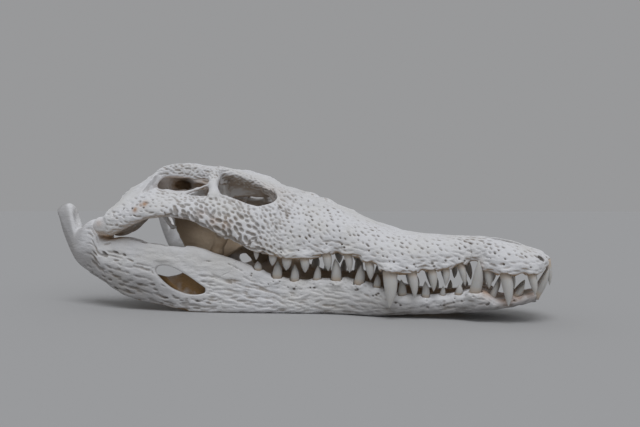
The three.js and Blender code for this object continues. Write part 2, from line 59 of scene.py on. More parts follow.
class Space:
    """Sample places along back, side and up."""

    def __init__(self, sides):
        self.axes = (
            np.arange(BACK_LOW, BACK_HIGH, STEP),
            sides,
            np.arange(UP_LOW, UP_HIGH, STEP),
        )
        self.origin = np.array([axis[0] for axis in self.axes])
        self.shape = tuple(len(axis) for axis in self.axes)

    def blank(self):
        return np.full(self.shape, FAR, np.float32)

    def box(self, low, high):
        cut = []
        for axis, a, b in zip(self.axes, low, high):
            first = max(int((a - axis[0]) / STEP), 0)
            last = min(int((b - axis[0]) / STEP) + 2, len(axis))
            cut.append(slice(first, max(last, first)))
        grids = (
            self.axes[0][cut[0]][:, None, None],
            self.axes[1][cut[1]][None, :, None],
            self.axes[2][cut[2]][None, None, :],
        )
        return tuple(cut), grids


HALF_SIDES = STEP * (np.arange(int(SIDE_HIGH / STEP)) + 0.5)
HALF = Space(HALF_SIDES)
FULL = Space(np.concatenate([-HALF_SIDES[::-1], HALF_SIDES]))


def smin(a, b, k):
    h = np.maximum(k - np.abs(a - b), 0)
    return np.minimum(a, b) - h * h / (4 * k)


def smax(a, b, k):
    h = np.maximum(k - np.abs(a - b), 0)
    return np.maximum(a, b) + h * h / (4 * k)


def smooth_step(low, high, x):
    t = np.clip((x - low) / (high - low), 0, 1)
    return t * t * (3 - 2 * t)


def join(field, patch, k):
    cut, values = patch
    field[cut] = smin(field[cut], values, k)


def carve(field, patch, k):
    cut, values = patch
    field[cut] = smax(field[cut], -values, k)


def track(*pairs):
    """Smooth curve through (station, value) pairs, with no overshoot between them."""
    x = np.array([p[0] for p in pairs], float)
    y = np.array([p[1] for p in pairs], float)
    rise = np.diff(y) / np.diff(x)
    slope = np.zeros(len(x))
    same = rise[:-1] * rise[1:]
    total = np.where(np.abs(rise[:-1] + rise[1:]) < 1e-9, 1, rise[:-1] + rise[1:])
    slope[1:-1] = np.where(same > 0, 2 * same / total, 0)

    def at(s):
        s = np.clip(s, x[0], x[-1])
        i = np.clip(np.searchsorted(x, s, side="right") - 1, 0, len(x) - 2)
        width = x[i + 1] - x[i]
        t = (s - x[i]) / width
        u = 1 - t
        ends = y[i] * u * u * (1 + 2 * t) + y[i + 1] * t * t * (3 - 2 * t)
        return ends + width * t * u * (slope[i] * u - slope[i + 1] * t)

    return at


def columns(*rows):
    """One curve for each column of a table whose first column is the station."""
    curves = [track(*[(r[0], r[c]) for r in rows]) for c in range(1, len(rows[0]))]
    return lambda s: [float(curve(s)) for curve in curves]


# ---------- outlines, as (back, value) ----------
SNOUT_TOP = track(
    (2, 52), (3.5, 56.5), (6, 61), (10, 64.6), (16, 66.5), (22.5, 68.2), (29, 70.9), (36, 73),
    (44, 74.6), (51, 75.9), (64, 77.3), (92, 77.5), (108, 78), (124, 79.5), (140, 82), (156, 86.5),
    (172, 91.5), (190, 99), (210, 106), (230, 113.5), (250, 120), (266, 126),
)
SNOUT_HALF = track(
    (2, 6), (3.5, 11), (6, 16), (10, 21.5), (16, 27), (24, 31), (34, 33), (44, 33),
    (54, 30), (60, 26), (65, 23), (70, 22.5), (75, 25), (85, 30), (100, 37), (118, 44),
    (134, 48.5), (150, 49.5), (170, 47.5), (190, 47.5), (210, 51), (235, 58), (266, 69),
)
SNOUT_EDGE = track(
    (2, 51.5), (4, 52.5), (9, 46.5), (14, 44), (18, 43), (24, 46), (33, 43), (44, 43),
    (52, 46.5), (60, 49), (65, 54.5), (71, 54), (76, 50), (83, 49), (90, 46.5), (105, 45),
    (112, 46), (123, 42), (133, 41.5), (146, 43), (155, 50), (168, 55), (184, 58),
    (192, 60.5), (205, 57), (216, 54), (229, 53), (243, 54), (254, 57), (266, 61),
)
FRONTAL_HALF = track((252, 40), (264, 38), (270, 29), (285, 26.5), (300, 28), (315, 30), (328, 38))
FRONTAL_TOP = track(
    (252, 121), (264, 125.5), (285, 132.5), (300, 137), (318, 142), (328, 145), (332, 146)
)
FRONTAL_RIM = track((264, -7), (274, -3), (290, 2), (306, 3.5), (328, 3.5))
TABLE_HALF = track((324, 40), (328, 42), (336, 47), (350, 49.5), (384, 52), (402, 53))
TABLE_TOP = track((324, 145), (328, 146), (345, 149.5), (362, 152), (384, 151), (402, 147))
TABLE_EDGE = track((324, 144), (328, 145), (342, 148), (370, 152), (384, 150), (402, 138))
TABLE_UNDER = track(
    (324, 128), (333, 129.5), (348, 131.5), (362, 134.5), (375, 135.5), (388, 134), (402, 126)
)
BAR_HIGH = track(
    (250, 106), (264, 109), (281, 111.5), (294, 114.5), (307, 116.5), (318, 117), (332, 116),
    (344, 117), (355, 119), (367, 121.5), (380, 124), (391, 117), (402, 109.5), (416, 101),
    (424, 97),
)
BAR_LOW = track(
    (250, 59), (264, 59.5), (278, 65.5), (290, 72), (304, 78.5), (320, 86), (330, 90), (340, 93),
    (353, 95), (373, 93), (391, 87), (402, 83), (416, 78), (424, 77),
)
BAR_OUT_LOW = track(
    (250, 62), (264, 68), (290, 77), (304, 81), (320, 85), (340, 90), (353, 92), (373, 96),
    (391, 98.5), (416, 98), (424, 97),
)
BAR_OUT_HIGH = track(
    (250, 52), (264, 55), (281, 59), (294, 62), (307, 65), (318, 68), (344, 72), (367, 76),
    (380, 79), (391, 84), (402, 90), (416, 95), (424, 95),
)
JAW_OUT = track(
    (11, 8), (12.5, 13), (16, 18), (20, 21), (28, 23.5), (38, 25), (48, 28), (56, 31), (64, 32),
    (74, 29.5), (84, 28), (96, 29.5), (110, 32), (125, 36), (140, 38.5), (156, 40),
    (172, 40.5), (190, 41.5), (210, 45), (230, 51), (250, 57), (268, 63), (286, 69),
    (304, 74), (322, 79), (340, 83), (358, 86.5), (376, 89), (394, 91), (410, 93), (436, 94),
    (446, 93), (458, 91), (496, 90),
)
JAW_IN = track(
    (11, 0.15), (76, 0.15), (84, 6), (96, 11), (110, 15), (125, 19), (140, 21), (172, 24),
    (190, 26), (210, 29), (230, 35), (250, 42), (268, 49), (286, 56), (304, 61.5),
    (322, 66.5), (340, 70), (358, 72.5), (376, 73), (394, 72), (410, 69), (422, 66),
    (440, 64), (450, 67), (465, 73), (480, 76), (496, 79),
)
JAW_TOP = track(
    (11, 25.5), (13, 27.5), (15, 28), (24, 26), (34, 23), (40, 21), (49, 21), (54, 27), (61, 29),
    (68, 28), (75, 27), (86, 24), (99, 23), (117, 22), (134, 23), (146, 25), (157, 30),
    (164, 32), (176, 34), (188, 36), (203, 35), (216, 34), (226, 33), (245, 35), (259, 39),
    (273, 45), (293, 53), (312, 59), (323, 63), (355, 68), (390, 72), (410, 73.5), (422, 73),
    (430, 72), (438, 73), (441, 86), (444, 91), (450, 92), (455, 91), (461, 88), (466, 83),
    (471, 82), (474, 90), (477, 100), (480, 106), (485, 109), (491, 108), (496, 104),
)
JAW_LOW = track(
    (11, 23.5), (13, 20.5), (16, 19), (24, 16.5), (37, 13), (50, 10.5), (70, 7), (97, 4.5),
    (121, 3), (145, 1), (160, 0), (335, 0), (348, 2), (368, 5.5), (386, 8.5), (404, 12.5),
    (419, 18.5), (432, 26), (445, 31.5), (457, 37), (470, 46), (477, 54.5), (483, 65),
    (489, 78), (493, 90), (496, 98),
)
# Teeth as (back, out, up of the socket edge, tip back, tip out, tip up, thickness).
UPPER_TEETH = [
    (4, 7, 52, 3, 8, 34, 5), (18, 23, 43, 15, 25, 27, 7), (39.5, 27.5, 43, 37, 31.5, 17, 10.4),
    (55, 23.5, 46, 54, 25, 31, 8), (79, 22, 49, 75, 24, 32, 7), (92, 28, 46, 92, 30, 32, 7),
    (104, 33, 44.5, 102, 35, 27, 8.3), (121, 39.5, 42, 118, 42, 21, 9.2),
    (141, 44, 42.5, 140, 49, 12, 14), (161, 43, 51, 159, 45, 36, 9),
    (182, 42.5, 57.5, 180, 44, 42, 8.2), (203, 44.5, 57, 201, 46, 43, 9.4),
    (224, 50, 53, 223, 51, 41, 9.4), (241, 54.5, 53.5, 241, 55.5, 43, 10),
    (254, 58.5, 57, 254, 60, 47.5, 8.6), (269.5, 63.5, 61, 269, 64.5, 53, 5.5),
]
LOWER_TEETH = [
    (13.5, 9.5, 26.5, 3.8, 11.5, 49, 7.4), (30.5, 17, 25, 24.2, 17, 35, 6.2),
    (52, 20.5, 22, 47, 21, 37.5, 6), (66, 26.2, 28, 62.5, 28.3, 56, 10.4),
    (81, 22.5, 24.5, 80, 23, 33, 6.9), (96, 24, 22, 95, 24.5, 31, 5.2),
    (111, 27, 21, 111, 27.5, 35, 7.7), (132, 31.5, 22, 133, 32, 36, 8.3),
    (156, 34.5, 29, 155, 34.5, 40, 7.2), (173, 35.5, 33, 171, 36, 49, 10),
    (196, 37, 35, 197, 37.5, 54, 10.6), (215, 40, 34, 214, 40, 47, 8),
    (236, 46.5, 33, 236, 46.5, 48, 9.1), (253, 51.5, 36, 252, 51.5, 51, 10.4),
    (271, 57.5, 43.5, 271, 57.5, 51, 8.4),
]
FRONT_TEETH = 4


# ---------- primitives ----------
def chaikin(ring, times=3):
    ring = np.array(ring, float)
    for _ in range(times):
        ahead = np.roll(ring, -1, axis=0)
        ring = np.stack([0.75 * ring + 0.25 * ahead, 0.25 * ring + 0.75 * ahead], 1).reshape(-1, 2)
    return ring


def rounded(ring):
    """Rounds the corners of a ring and keeps its outer size."""
    ring = np.array(ring, float)
    low, high = ring.min(0), ring.max(0)
    soft = chaikin(ring)
    soft_low, soft_high = soft.min(0), soft.max(0)
    return low + (soft - soft_low) * (high - low) / (soft_high - soft_low)


def both_halves(half):
    half = np.array(half, float)
    other = half[::-1] * [-1, 1]
    return np.concatenate([half, other[other[:, 0] < -0.01]])


def loft(stations, ring_at):
    """A closed body through [side, up] rings along back, as a patch of distances."""
    rings = [np.column_stack([np.full(len(r), b), r]) for b, r in ((b, ring_at(b)) for b in stations)]
    n, count = len(rings[0]), len(rings)
    points = np.concatenate(rings + [rings[0].mean(0)[None], rings[-1].mean(0)[None]])
    i = np.arange(n)
    after = (i + 1) % n
    faces = []
    for r in range(count - 1):
        a, b = r * n, (r + 1) * n
        faces.append(np.column_stack([a + i, a + after, b + after]))
        faces.append(np.column_stack([a + i, b + after, b + i]))
    first, last = count * n, count * n + 1
    faces.append(np.column_stack([after, i, np.full(n, first)]))
    faces.append(np.column_stack([(count - 1) * n + i, (count - 1) * n + after, np.full(n, last)]))
    return rasterise(points, np.concatenate(faces))


def rasterise(points, faces):
    """Distances to a closed mesh, as a patch of the half grid."""
    index = (points - HALF.origin) / STEP
    grid = vdb.FloatGrid.createLevelSetFromPolygons(
        index.astype(np.float32), triangles=faces.astype(np.uint32),
        transform=vdb.createLinearTransform(voxelSize=1.0), halfWidth=BAND,
    )
    low = np.maximum(np.floor(index.min(0)).astype(int) - BAND, 0)
    high = np.minimum(np.ceil(index.max(0)).astype(int) + BAND + 1, HALF.shape)
    block = np.empty(tuple(high - low), np.float32)
    grid.copyToArray(block, ijk=tuple(int(v) for v in low))
    return tuple(slice(int(a), int(b)) for a, b in zip(low, high)), block * STEP


def run(first, last, step=2.5):
    return np.linspace(first, last, max(2, round((last - first) / step) + 1))


def unit(v):
    v = np.array(v, float)
    return v / np.linalg.norm(v)


def ball(space, centre, radii, frame_axes=None, margin=3.0):
    """An ellipsoid as a patch. frame_axes are the three unit directions of its radii."""
    centre = np.array(centre, float)
    reach = (max(radii) if frame_axes is not None else np.array(radii)) + margin
    cut, grids = space.box(centre - reach, centre + reach)
    delta = [g - c for g, c in zip(grids, centre)]
    near = 0
    steep = 0
    for i, radius in enumerate(radii):
        if frame_axes is None:
            along = delta[i]
        else:
            along = sum(d * v for d, v in zip(delta, frame_axes[i]))
        near = near + (along / radius) ** 2
        steep = steep + (along / radius**2) ** 2
    near = np.sqrt(near)
    return cut, (near * (near - 1) / np.maximum(np.sqrt(steep), 1e-6)).astype(np.float32)


def rod(space, start, end, start_radius, end_radius, margin=6.0):
    """A straight rod with round ends, as a patch."""
    start, end = np.array(start, float), np.array(end, float)
    reach = max(start_radius, end_radius) + margin
    cut, grids = space.box(np.minimum(start, end) - reach, np.maximum(start, end) + reach)
    span = end - start
    delta = [g - c for g, c in zip(grids, start)]
    t = np.clip(sum(d * v for d, v in zip(delta, span)) / (span @ span), 0, 1)
    off = sum((d - t * v) ** 2 for d, v in zip(delta, span))
    growth = (end_radius - start_radius) * t
    return cut, (np.sqrt(off) - start_radius - growth).astype(np.float32)


def path_rod(points, radii):
    """Rods end to end along a path of places, on the half grid."""
    return [rod(HALF, *ends, *widths) for ends, widths in zip(pairwise(points), pairwise(radii))]


def carve_path(field, points, radii, k):
    for part in path_rod(points, radii):
        carve(field, part, k)


def outline_cut(outline, near, far):
    """A sideways prism over an outline of (back, up) corners, rounded, as a patch."""
    ring = chaikin(outline)
    n = len(ring)
    points = np.concatenate([
        np.column_stack([ring[:, 0], np.full(n, side), ring[:, 1]]) for side in (near, far)
    ] + [[[ring[:, 0].mean(), side, ring[:, 1].mean()] for side in (near, far)]])
    i = np.arange(n)
    after = (i + 1) % n
    faces = np.concatenate([
        np.column_stack([i, after, n + after]), np.column_stack([i, n + after, n + i]),
        np.column_stack([after, i, np.full(n, 2 * n)]),
        np.column_stack([n + i, n + after, np.full(n, 2 * n + 1)]),
    ])
    return rasterise(points, faces)


# ---------- cranium ----------
DOME_POWER = 2.4
DOME_STEPS = 24


def snout_ring(back):
    half, top, edge = (float(c(back)) for c in (SNOUT_HALF, SNOUT_TOP, SNOUT_EDGE))
    foot = min(edge + 6, (top + edge) / 2)
    turn = np.linspace(0, math.pi / 2, DOME_STEPS)
    out = half * np.sin(turn) ** (2 / DOME_POWER)
    up = foot + (top - foot) * np.cos(turn) ** (2 / DOME_POWER)
    dome = np.column_stack([out, up])
    lift = min(5, (top - edge) / 3)
    under = [
        [half * 0.985, foot - 0.45 * (foot - edge)], [half * 0.93, edge + 0.6], [half * 0.86, edge],
        [half * 0.74, edge + 0.6], [half * 0.6, edge + 0.7 * lift], [half * 0.4, edge + lift],
        [0, edge + lift + 1],
    ]
    return both_halves(np.concatenate([dome, under]))


def frontal_ring(back):
    half, top = float(FRONTAL_HALF(back)), float(FRONTAL_TOP(back))
    rim = top + float(FRONTAL_RIM(back))
    half_ring = [
        [0, top], [half * 0.5, top + 0.3], [half * 0.84, rim], [half + 0.5, rim - 2.5],
        [half + 1, rim - 7.5], [half - 5, rim - 12], [15, top - 14], [12, 117], [9, 116],
        [7, top - 13], [0, top - 13],
    ]
    return rounded(both_halves(half_ring))


def bar_ring(back):
    low, high, out_low, out_high = (
        float(c(back)) for c in (BAR_LOW, BAR_HIGH, BAR_OUT_LOW, BAR_OUT_HIGH)
    )
    tall = high - low
    return rounded([
        [out_high - 3, high], [out_high + 1, high - 2.5],
        [out_high + 0.55 * (out_low - out_high) + 4, high - 0.35 * tall],
        [out_low + 2, low + 0.3 * tall], [out_low + 0.5, low + 1.5], [out_low - 4, low - 0.3],
        [out_low - 9, low + 3], [out_low - 7, low + 0.35 * tall],
        [out_high - 4, high - 0.3 * tall], [out_high - 7, high - 2],
    ])


def table_ring(back):
    top, edge, half, under = (
        float(c(back)) for c in (TABLE_TOP, TABLE_EDGE, TABLE_HALF, TABLE_UNDER)
    )
    return chaikin(both_halves([
        [0, top], [half * 0.6, top], [half - 3, edge], [half + 0.5, edge - 2.5],
        [half, under + 2.5], [half - 4, under], [half * 0.6, top - 13], [0, top - 14],
    ]))


BRAINCASE = columns(
    # back, half width high, half width low, floor
    (324, 26, 24, 116), (328, 28, 26, 112), (340, 24, 22, 100), (352, 20, 14, 86),
    (366, 20, 12, 76), (380, 24, 14, 73), (388, 40, 17, 74), (396, 50, 18, 78), (403, 48, 16, 90),
)


def braincase_ring(back):
    high, low, floor = BRAINCASE(back)
    top = float(TABLE_TOP(back)) - 8
    return chaikin(both_halves([
        [0, top], [high, min(top, float(TABLE_EDGE(back)) - 6)], [high * 0.96, 122],
        [max(low, high * 0.5), max(108, floor + 2)], [low, floor + 2], [low * 0.6, floor],
        [0, floor],
    ]), 2)


PRONG = columns(
    # back, inner, outer, top, floor
    (390, 36, 52, 146, 119), (396, 38, 52.5, 142, 116), (408, 42, 54.5, 135, 108),
    (420, 46, 56, 128, 98), (431, 50, 57, 122, 91), (438, 53, 57, 117, 90),
)


def prong_ring(back):
    inner, outer, top, floor = PRONG(back)
    return rounded([
        [inner, top - 1], [(inner + outer) / 2, top + 0.5], [outer + 0.5, top - 3],
        [outer + 0.5, floor + 2], [(inner + outer) / 2, floor - 0.5], [inner, floor + 2],
    ])


QUADRATE = columns(
    # back, inner, inner top, inner floor, outer, outer top, outer floor
    (352, 18, 124, 114, 66, 116, 110), (367, 20, 126, 114, 70, 120, 112),
    (380, 30, 125, 110, 75, 122, 110), (391, 42, 122, 104, 80, 117, 103),
    (403, 50, 117, 94, 86, 110, 90), (416.3, 56, 108, 80, 94, 102, 78.5),
    (425, 60, 100, 75.5, 97.5, 97, 76.5), (434, 64, 92, 75, 99, 91, 78),
    (438.3, 68, 86, 77, 97, 88, 81.5),
)


def web_ring(back):
    """Slope from the hind corner of the skull table down to the cheek bar."""
    _, inner, top, floor = PRONG(back)
    outer, high = float(BAR_OUT_HIGH(back)), float(BAR_HIGH(back))
    middle = (inner + outer) / 2
    return rounded([
        [inner - 5, top - 3], [middle, (top + high) / 2 - 2], [outer, high], [outer - 3, high - 8],
        [middle, (floor + high) / 2 - 8], [inner - 5, floor],
    ])


def quadrate_ring(back):
    inner, inner_top, inner_low, outer, outer_top, outer_low = QUADRATE(back)
    middle = (inner + outer) / 2
    return rounded([
        [inner, inner_top - 2], [inner + 4, inner_top], [middle, (inner_top + outer_top) / 2 + 1],
        [outer - 3, outer_top], [outer + 0.5, outer_top - 3], [outer - 1, outer_low],
        [middle, (inner_low + outer_low) / 2 + 0.5], [inner + 4, inner_low], [inner, inner_low + 2],
    ])


PALATINE_HALF = track((255, 26), (266, 22), (280, 16), (296, 15), (312, 20))


def palatine_ring(back):
    half = float(PALATINE_HALF(back))
    return chaikin(both_halves([
        [0, 76], [half * 0.7, 74], [half, 67], [half * 0.8, 60], [0, 59],
    ]))


WING = columns(
    # back, upper middle, lateral edge, lateral height
    (302, 74, 24, 66), (312, 76, 46, 56), (324, 79, 61, 44), (336, 83, 65, 40),
    (346, 87, 64, 51), (354, 90, 60, 64), (362, 94, 55, 73), (371, 97, 49, 81),
    (380, 99, 41, 89), (387, 100, 34, 95),
)


def wing_ring(back):
    middle, edge, height = WING(back)
    drop = middle - height
    thick = 4.2
    return chaikin([
        [-3, middle], [edge * 0.45, middle - 0.42 * drop], [edge * 0.8, middle - 0.8 * drop],
        [edge, height + 0.5], [edge - 0.5, height - thick + 1],
        [edge * 0.78 - 2, middle - 0.8 * drop - thick],
        [edge * 0.42, middle - 0.42 * drop - thick], [-3, middle - thick - 1],
    ], 2)


SNOUT_BACK = 264.0
ROOF_BACK = 328.0


def cranium():
    """The joined cranium on the half grid, and one field for each group of bones."""
    names = ("snout", "frontal", "bar", "table", "quadrate", "palate", "wing")
    groups = {name: HALF.blank() for name in names}
    whole = HALF.blank()

    def add(group, patch, k, first=None, last=None):
        join(whole, patch, k)
        cut, values = patch
        backs = HALF.axes[0][cut[0]][:, None, None]
        label = values
        if first is not None:
            label = np.maximum(label, first - backs)
        if last is not None:
            label = np.maximum(label, backs - last)
        groups[group][cut] = np.minimum(groups[group][cut], label)

    def add_path(group, points, radii, k, **limits):
        for part in path_rod(points, radii):
            add(group, part, k, **limits)

    add("snout", loft(run(2, 266, 2), snout_ring), 0.5, last=SNOUT_BACK)
    # Ridge from the inner corner of the eye along the snout.
    ridge = [(268, 33, 119), (250, 29, 113.5), (228, 24, 107), (200, 19, 98)]
    add_path("snout", ridge, (5, 5, 4, 2), 9, last=SNOUT_BACK)
    add("frontal", loft(run(254, 332), frontal_ring), 5, first=SNOUT_BACK, last=ROOF_BACK)
    add("bar", loft(run(252, 422), bar_ring), 5, first=SNOUT_BACK)
    add("table", loft(run(325, 402), table_ring), 4, first=ROOF_BACK)
    add("table", loft(run(326, 403), braincase_ring), 5, first=ROOF_BACK)
    add("quadrate", loft(run(352, 438.3), quadrate_ring), 5)
    add("table", loft(run(390, 438), prong_ring), 9)
    add("quadrate", loft(run(392, 424), web_ring), 6)
    # Two knobs of the jaw joint.
    for centre, radii in (((432, 67, 80), (7, 7.5, 6)), ((432.5, 94, 86.5), (8, 6.5, 8))):
        add("quadrate", ball(HALF, centre, radii), 3)
    # Pillar behind the eye, and the thin splint of bone across the ear opening.
    add_path("table", [(331, 42, 139), (322.5, 54, 127), (316, 65, 115)], (6.5, 4.8, 6), 5)
    add_path("table", [(351, 67, 118.5), (338, 62, 123), (325, 57, 128.5)], (2.2, 1.3, 1.2), 3)
    add("table", ball(HALF, (403, 0, 100), (9, 9.5, 8.5)), 4)
    add("palate", loft(run(256, 312), palatine_ring), 4, first=SNOUT_BACK)
    add("wing", loft(run(302, 387), wing_ring), 5)
    prop = [(296, 72, 86), (306, 69, 74), (314, 62, 60), (324, 55, 49)]
    add_path("wing", prop, (7, 4, 3.4, 5), 9)
    # Ragged rim of the wing.
    rim = [(318, 55, 49), (327, 62.5, 42), (336, 64.5, 40.5), (345, 63.5, 49.5)]
    add_path("wing", rim, (3.5, 4, 3.6, 3), 4)
    # Small hook of bone under the quadrate.
    hook = [(391, 50, 107), (387, 50, 97), (382, 50, 89), (377, 50, 83.5), (373, 50, 83.5)]
    add_path("quadrate", hook, (4, 2.6, 2.0, 1.7, 1.0), 2)
    return whole, groups


def rotated(pitch, roll=0.0):
    """Unit directions of an ellipsoid turned about the side axis, then about the back axis."""
    c, s = math.cos(pitch), math.sin(pitch)
    cr, sr = math.cos(roll), math.sin(roll)
    along = np.array([c, 0, s])
    across = np.array([-s * sr, cr, c * sr])
    return [along, across, np.cross(along, across)]


eye_rim = HALF.blank()


def open_cranium(field):
    """Eye openings, openings of the skull table, nostril and hollows."""
    # Eye opening: an oval tube square to the plane through its rim.
    along = unit((0.94, 0.03, 0.34))
    normal = unit((-0.26, 0.49, 0.83))
    across = unit(np.cross(normal, along))
    normal = np.cross(along, across)
    centre = np.array([288, 48, 123])
    cut, grids = HALF.box(centre - 48, centre + 48)
    delta = [g - c for g, c in zip(grids, centre)]
    u, v, w = (sum(d * q for d, q in zip(delta, axis)) for axis in (along, across, normal))
    tube = ((np.abs(u) / 31.5) ** 2.7 + (np.abs(v) / 16) ** 2.7) ** (1 / 2.7)
    tube = np.maximum((tube - 1) * 16, np.abs(w + 4) - 27)
    eye_rim[cut] = tube
    carve(field, (cut, tube.astype(np.float32)), 3)
    for centre, radii, axes, k in (
        # Room under the eye opening.
        ((291, 36, 104), (28, 17, 18), rotated(0.2), 5),
        ((287, 43, 118.5), (29, 20.5, 11.5), rotated(0.25), 2),
        # Openings of the skull table.
        ((359, 22, 141), (13.5, 8.5, 12), None, 2.5), ((359, 22, 150), (13.5, 8.5, 12), None, 2.5),
        # Hollow of the ear, under the edge of the skull table.
        ((368, 42, 128.5), (22, 17, 6.2), rotated(0, -0.1), 3),
        ((390, 48, 128.5), (13, 7, 6), rotated(-0.4), 3),
        ((380, 27, 129.5), (7, 11, 5), None, 2), ((364, 30, 128), (11, 16, 5.5), None, 2),
        ((342, 40, 127.5), (12, 15, 7.5), rotated(0.1), 3),
        # Nostrils: one oval basin.
        ((43, 0, 73), (17, 12, 14), None, 1),
        # Back of the skull table and of the head.
        ((414, 0, 146), (20, 34, 18), None, 6), ((411, 24, 118), (14, 17, 14), None, 6),
        ((406, 0, 113.5), (12, 6.5, 5), None, 2),
        # Palate: vaults ahead of the palatines, and the hind nostril in the wings.
        ((244, 31, 56), (28, 10.5, 14), None, 4), ((372, 0, 89), (8, 9, 9), None, 2.5),
    ):
        carve(field, ball(HALF, centre, radii, axes), k)


# ---------- lower jaw ----------
def jaw_ring(back):
    outer, inner, low, high = (float(c(back)) for c in (JAW_OUT, JAW_IN, JAW_LOW, JAW_TOP))
    tall, wide = high - low, outer - inner
    keel = 0.32 - 0.22 * float(smooth_step(360, 400, back))
    ring = rounded([
        [outer - 0.2 * wide, high], [outer - 0.01 * wide, high - 0.2 * tall],
        [outer, low + 0.45 * tall], [outer - 0.03 * wide, low + 0.12 * tall],
        [outer - keel * wide, low], [inner + 0.22 * wide, low],
        [inner, low + 0.22 * tall], [inner + 0.02 * wide, high - 0.2 * tall],
        [inner + 0.25 * wide, high],
    ])
    ring[:, 1] = np.maximum(ring[:, 1], 0)
    if inner < 1:
        ring = np.array([[-2 if o < outer * 0.3 else o, u] for o, u in ring])
    return ring


CHAMBER_FLOOR = track((300, 12), (318, 10), (340, 10), (362, 14), (384, 22), (404, 34))


def chamber_ring(back):
    floor = float(CHAMBER_FLOOR(back))
    roof = float(JAW_TOP(back)) - 9
    outer = float(JAW_OUT(back)) - 4
    inner = float(JAW_IN(back)) + 4
    return chaikin([[outer, floor + 3], [outer - 1, roof], [inner + 1, roof], [inner, floor + 3]], 2)


WINDOW = [
    (372, 42), (365, 45.5), (354, 44.5), (344, 40), (335, 35.5), (326, 29), (317.5, 23.5), (320, 19.5),
    (330, 17.5), (341, 19), (355, 24.5), (367, 34.5),
]
INNER_WINDOW = [(396, 44), (388, 54), (350, 52), (340, 44), (352, 36), (380, 34)]


window_rim = HALF.blank()


def lower_jaw():
    field = HALF.blank()
    join(field, loft(run(11, 496, 2), jaw_ring), 0.5)
    carve(field, loft(run(300, 404, 4), chamber_ring), 4)
    window = outline_cut(WINDOW, 75.5, 112)
    window_rim[window[0]] = window[1]
    carve(field, window, 2.5)
    carve(field, outline_cut(INNER_WINDOW, 50, 80), 3)
    # Slot along the upper edge, into the chamber.
    slot = [(344, 77, 66), (362, 80, 69), (384, 81.5, 72), (400, 82, 74)]
    carve_path(field, slot, (2.5, 4.2, 5, 3.5), 3)
    # Bevel round the window.
    carve(field, ball(HALF, (346, 90, 33), (27, 5.5, 10), rotated(0.5)), 5)
    # Joint hollow and the spoon of the hind process.
    carve(field, ball(HALF, (438, 80, 84), (9, 22, 9.5)), 3)
    carve(field, ball(HALF, (468, 82, 100), (10.5, 7.2, 16), rotated(0.2)), 2.5)
    # Shallow trough along the inner side, ahead of the chamber.
    trough = [(120, 13, 12), (180, 21, 17), (240, 36, 18), (292, 56, 24)]
    carve_path(field, trough, (3, 5, 6, 8), 6)
    return field


# ---------- sockets ----------
FIRST_TEETH_BACK = 14


def root_and_way(row):
    """Place of a tooth's socket edge, and the unit direction to its tip."""
    back, out, up, tip_back, tip_out, tip_up, _ = row
    return np.array([back, out, up]), unit((tip_back - back, tip_out - out, tip_up - up))


def sockets(field, teeth):
    """Raised collars round the teeth, with a groove at each tooth's neck."""
    for row in teeth:
        (root, way), thick = root_and_way(row), row[-1]
        if row[0] > FIRST_TEETH_BACK:
            collar = (0.62 * thick + 1.7, 0.58 * thick + 1.5, 5.2)
            join(field, ball(HALF, root - way * 4.5, collar), 3.5)
        else:
            join(field, ball(HALF, root - way * 4 + (1.5, 0, 0), (3.6, 4, 4.6)), 2)
    for row in teeth:
        (root, way), thick = root_and_way(row), row[-1]
        carve(field, rod(HALF, root - way * 3, root + way * 6, 0.53 * thick, 0.6 * thick), 1.2)


whole_cranium, cranium_groups = cranium()
sockets(whole_cranium, UPPER_TEETH)
open_cranium(whole_cranium)
whole_jaw = lower_jaw()
sockets(whole_jaw, LOWER_TEETH)


def mirrored(field):
    return np.concatenate([field[:, ::-1], field], axis=1)


# ---------- surface relief on the full grid ----------
rng = np.random.default_rng(41)
TRIED_PLACES = 70000


def lattice(places, steps):
    """Smooth random values from -1 to 1 at places, from a coarse lattice of steps."""
    at = (places / np.array(steps)).astype(np.float32)
    low = np.floor(at).astype(np.int32)
    t = at - low
    t = t * t * (3 - 2 * t)
    low -= low.min(0)
    table = rng.uniform(-1, 1, low.max(0) + 2).astype(np.float32)
    total = 0
    for corner in range(8):
        bits = [(corner >> a) & 1 for a in range(3)]
        weight = 1
        for a in range(3):
            weight = weight * (t[:, a] if bits[a] else 1 - t[:, a])
        total = total + weight * table[tuple(low[:, a] + bits[a] for a in range(3))]
    return total


def ripple(field, *layers):
    """Smooth random relief near the surface, as layers of (lattice steps, height)."""
    near = np.nonzero(np.abs(field) < 1.8)
    places = (np.column_stack(near) * STEP).astype(np.float32)
    for steps, height in layers:
        field[near] += height * lattice(places, steps)


def sample(field, points):
    """Values of a full-grid field at (back, side, up) places."""
    at = (points - FULL.origin) / STEP
    at = np.clip(at, 0, np.array(FULL.shape) - 1.001)
    low = at.astype(int)
    t = at - low
    total = 0
    for corner in range(8):
        bits = [(corner >> a) & 1 for a in range(3)]
        weight = np.prod([t[:, a] if bits[a] else 1 - t[:, a] for a in range(3)], axis=0)
        i, j, k = (low[:, a] + bits[a] for a in range(3))
        total = total + weight * field[i, j, k]
    return total


def slopes(field, points, reach=1.0):
    """Unit directions out of the surface at places."""
    parts = []
    for a in range(3):
        shift = np.zeros(3)
        shift[a] = reach
        parts.append(sample(field, points + shift) - sample(field, points - shift))
    normal = np.column_stack(parts)
    return normal / np.maximum(np.linalg.norm(normal, axis=1, keepdims=True), 1e-6)


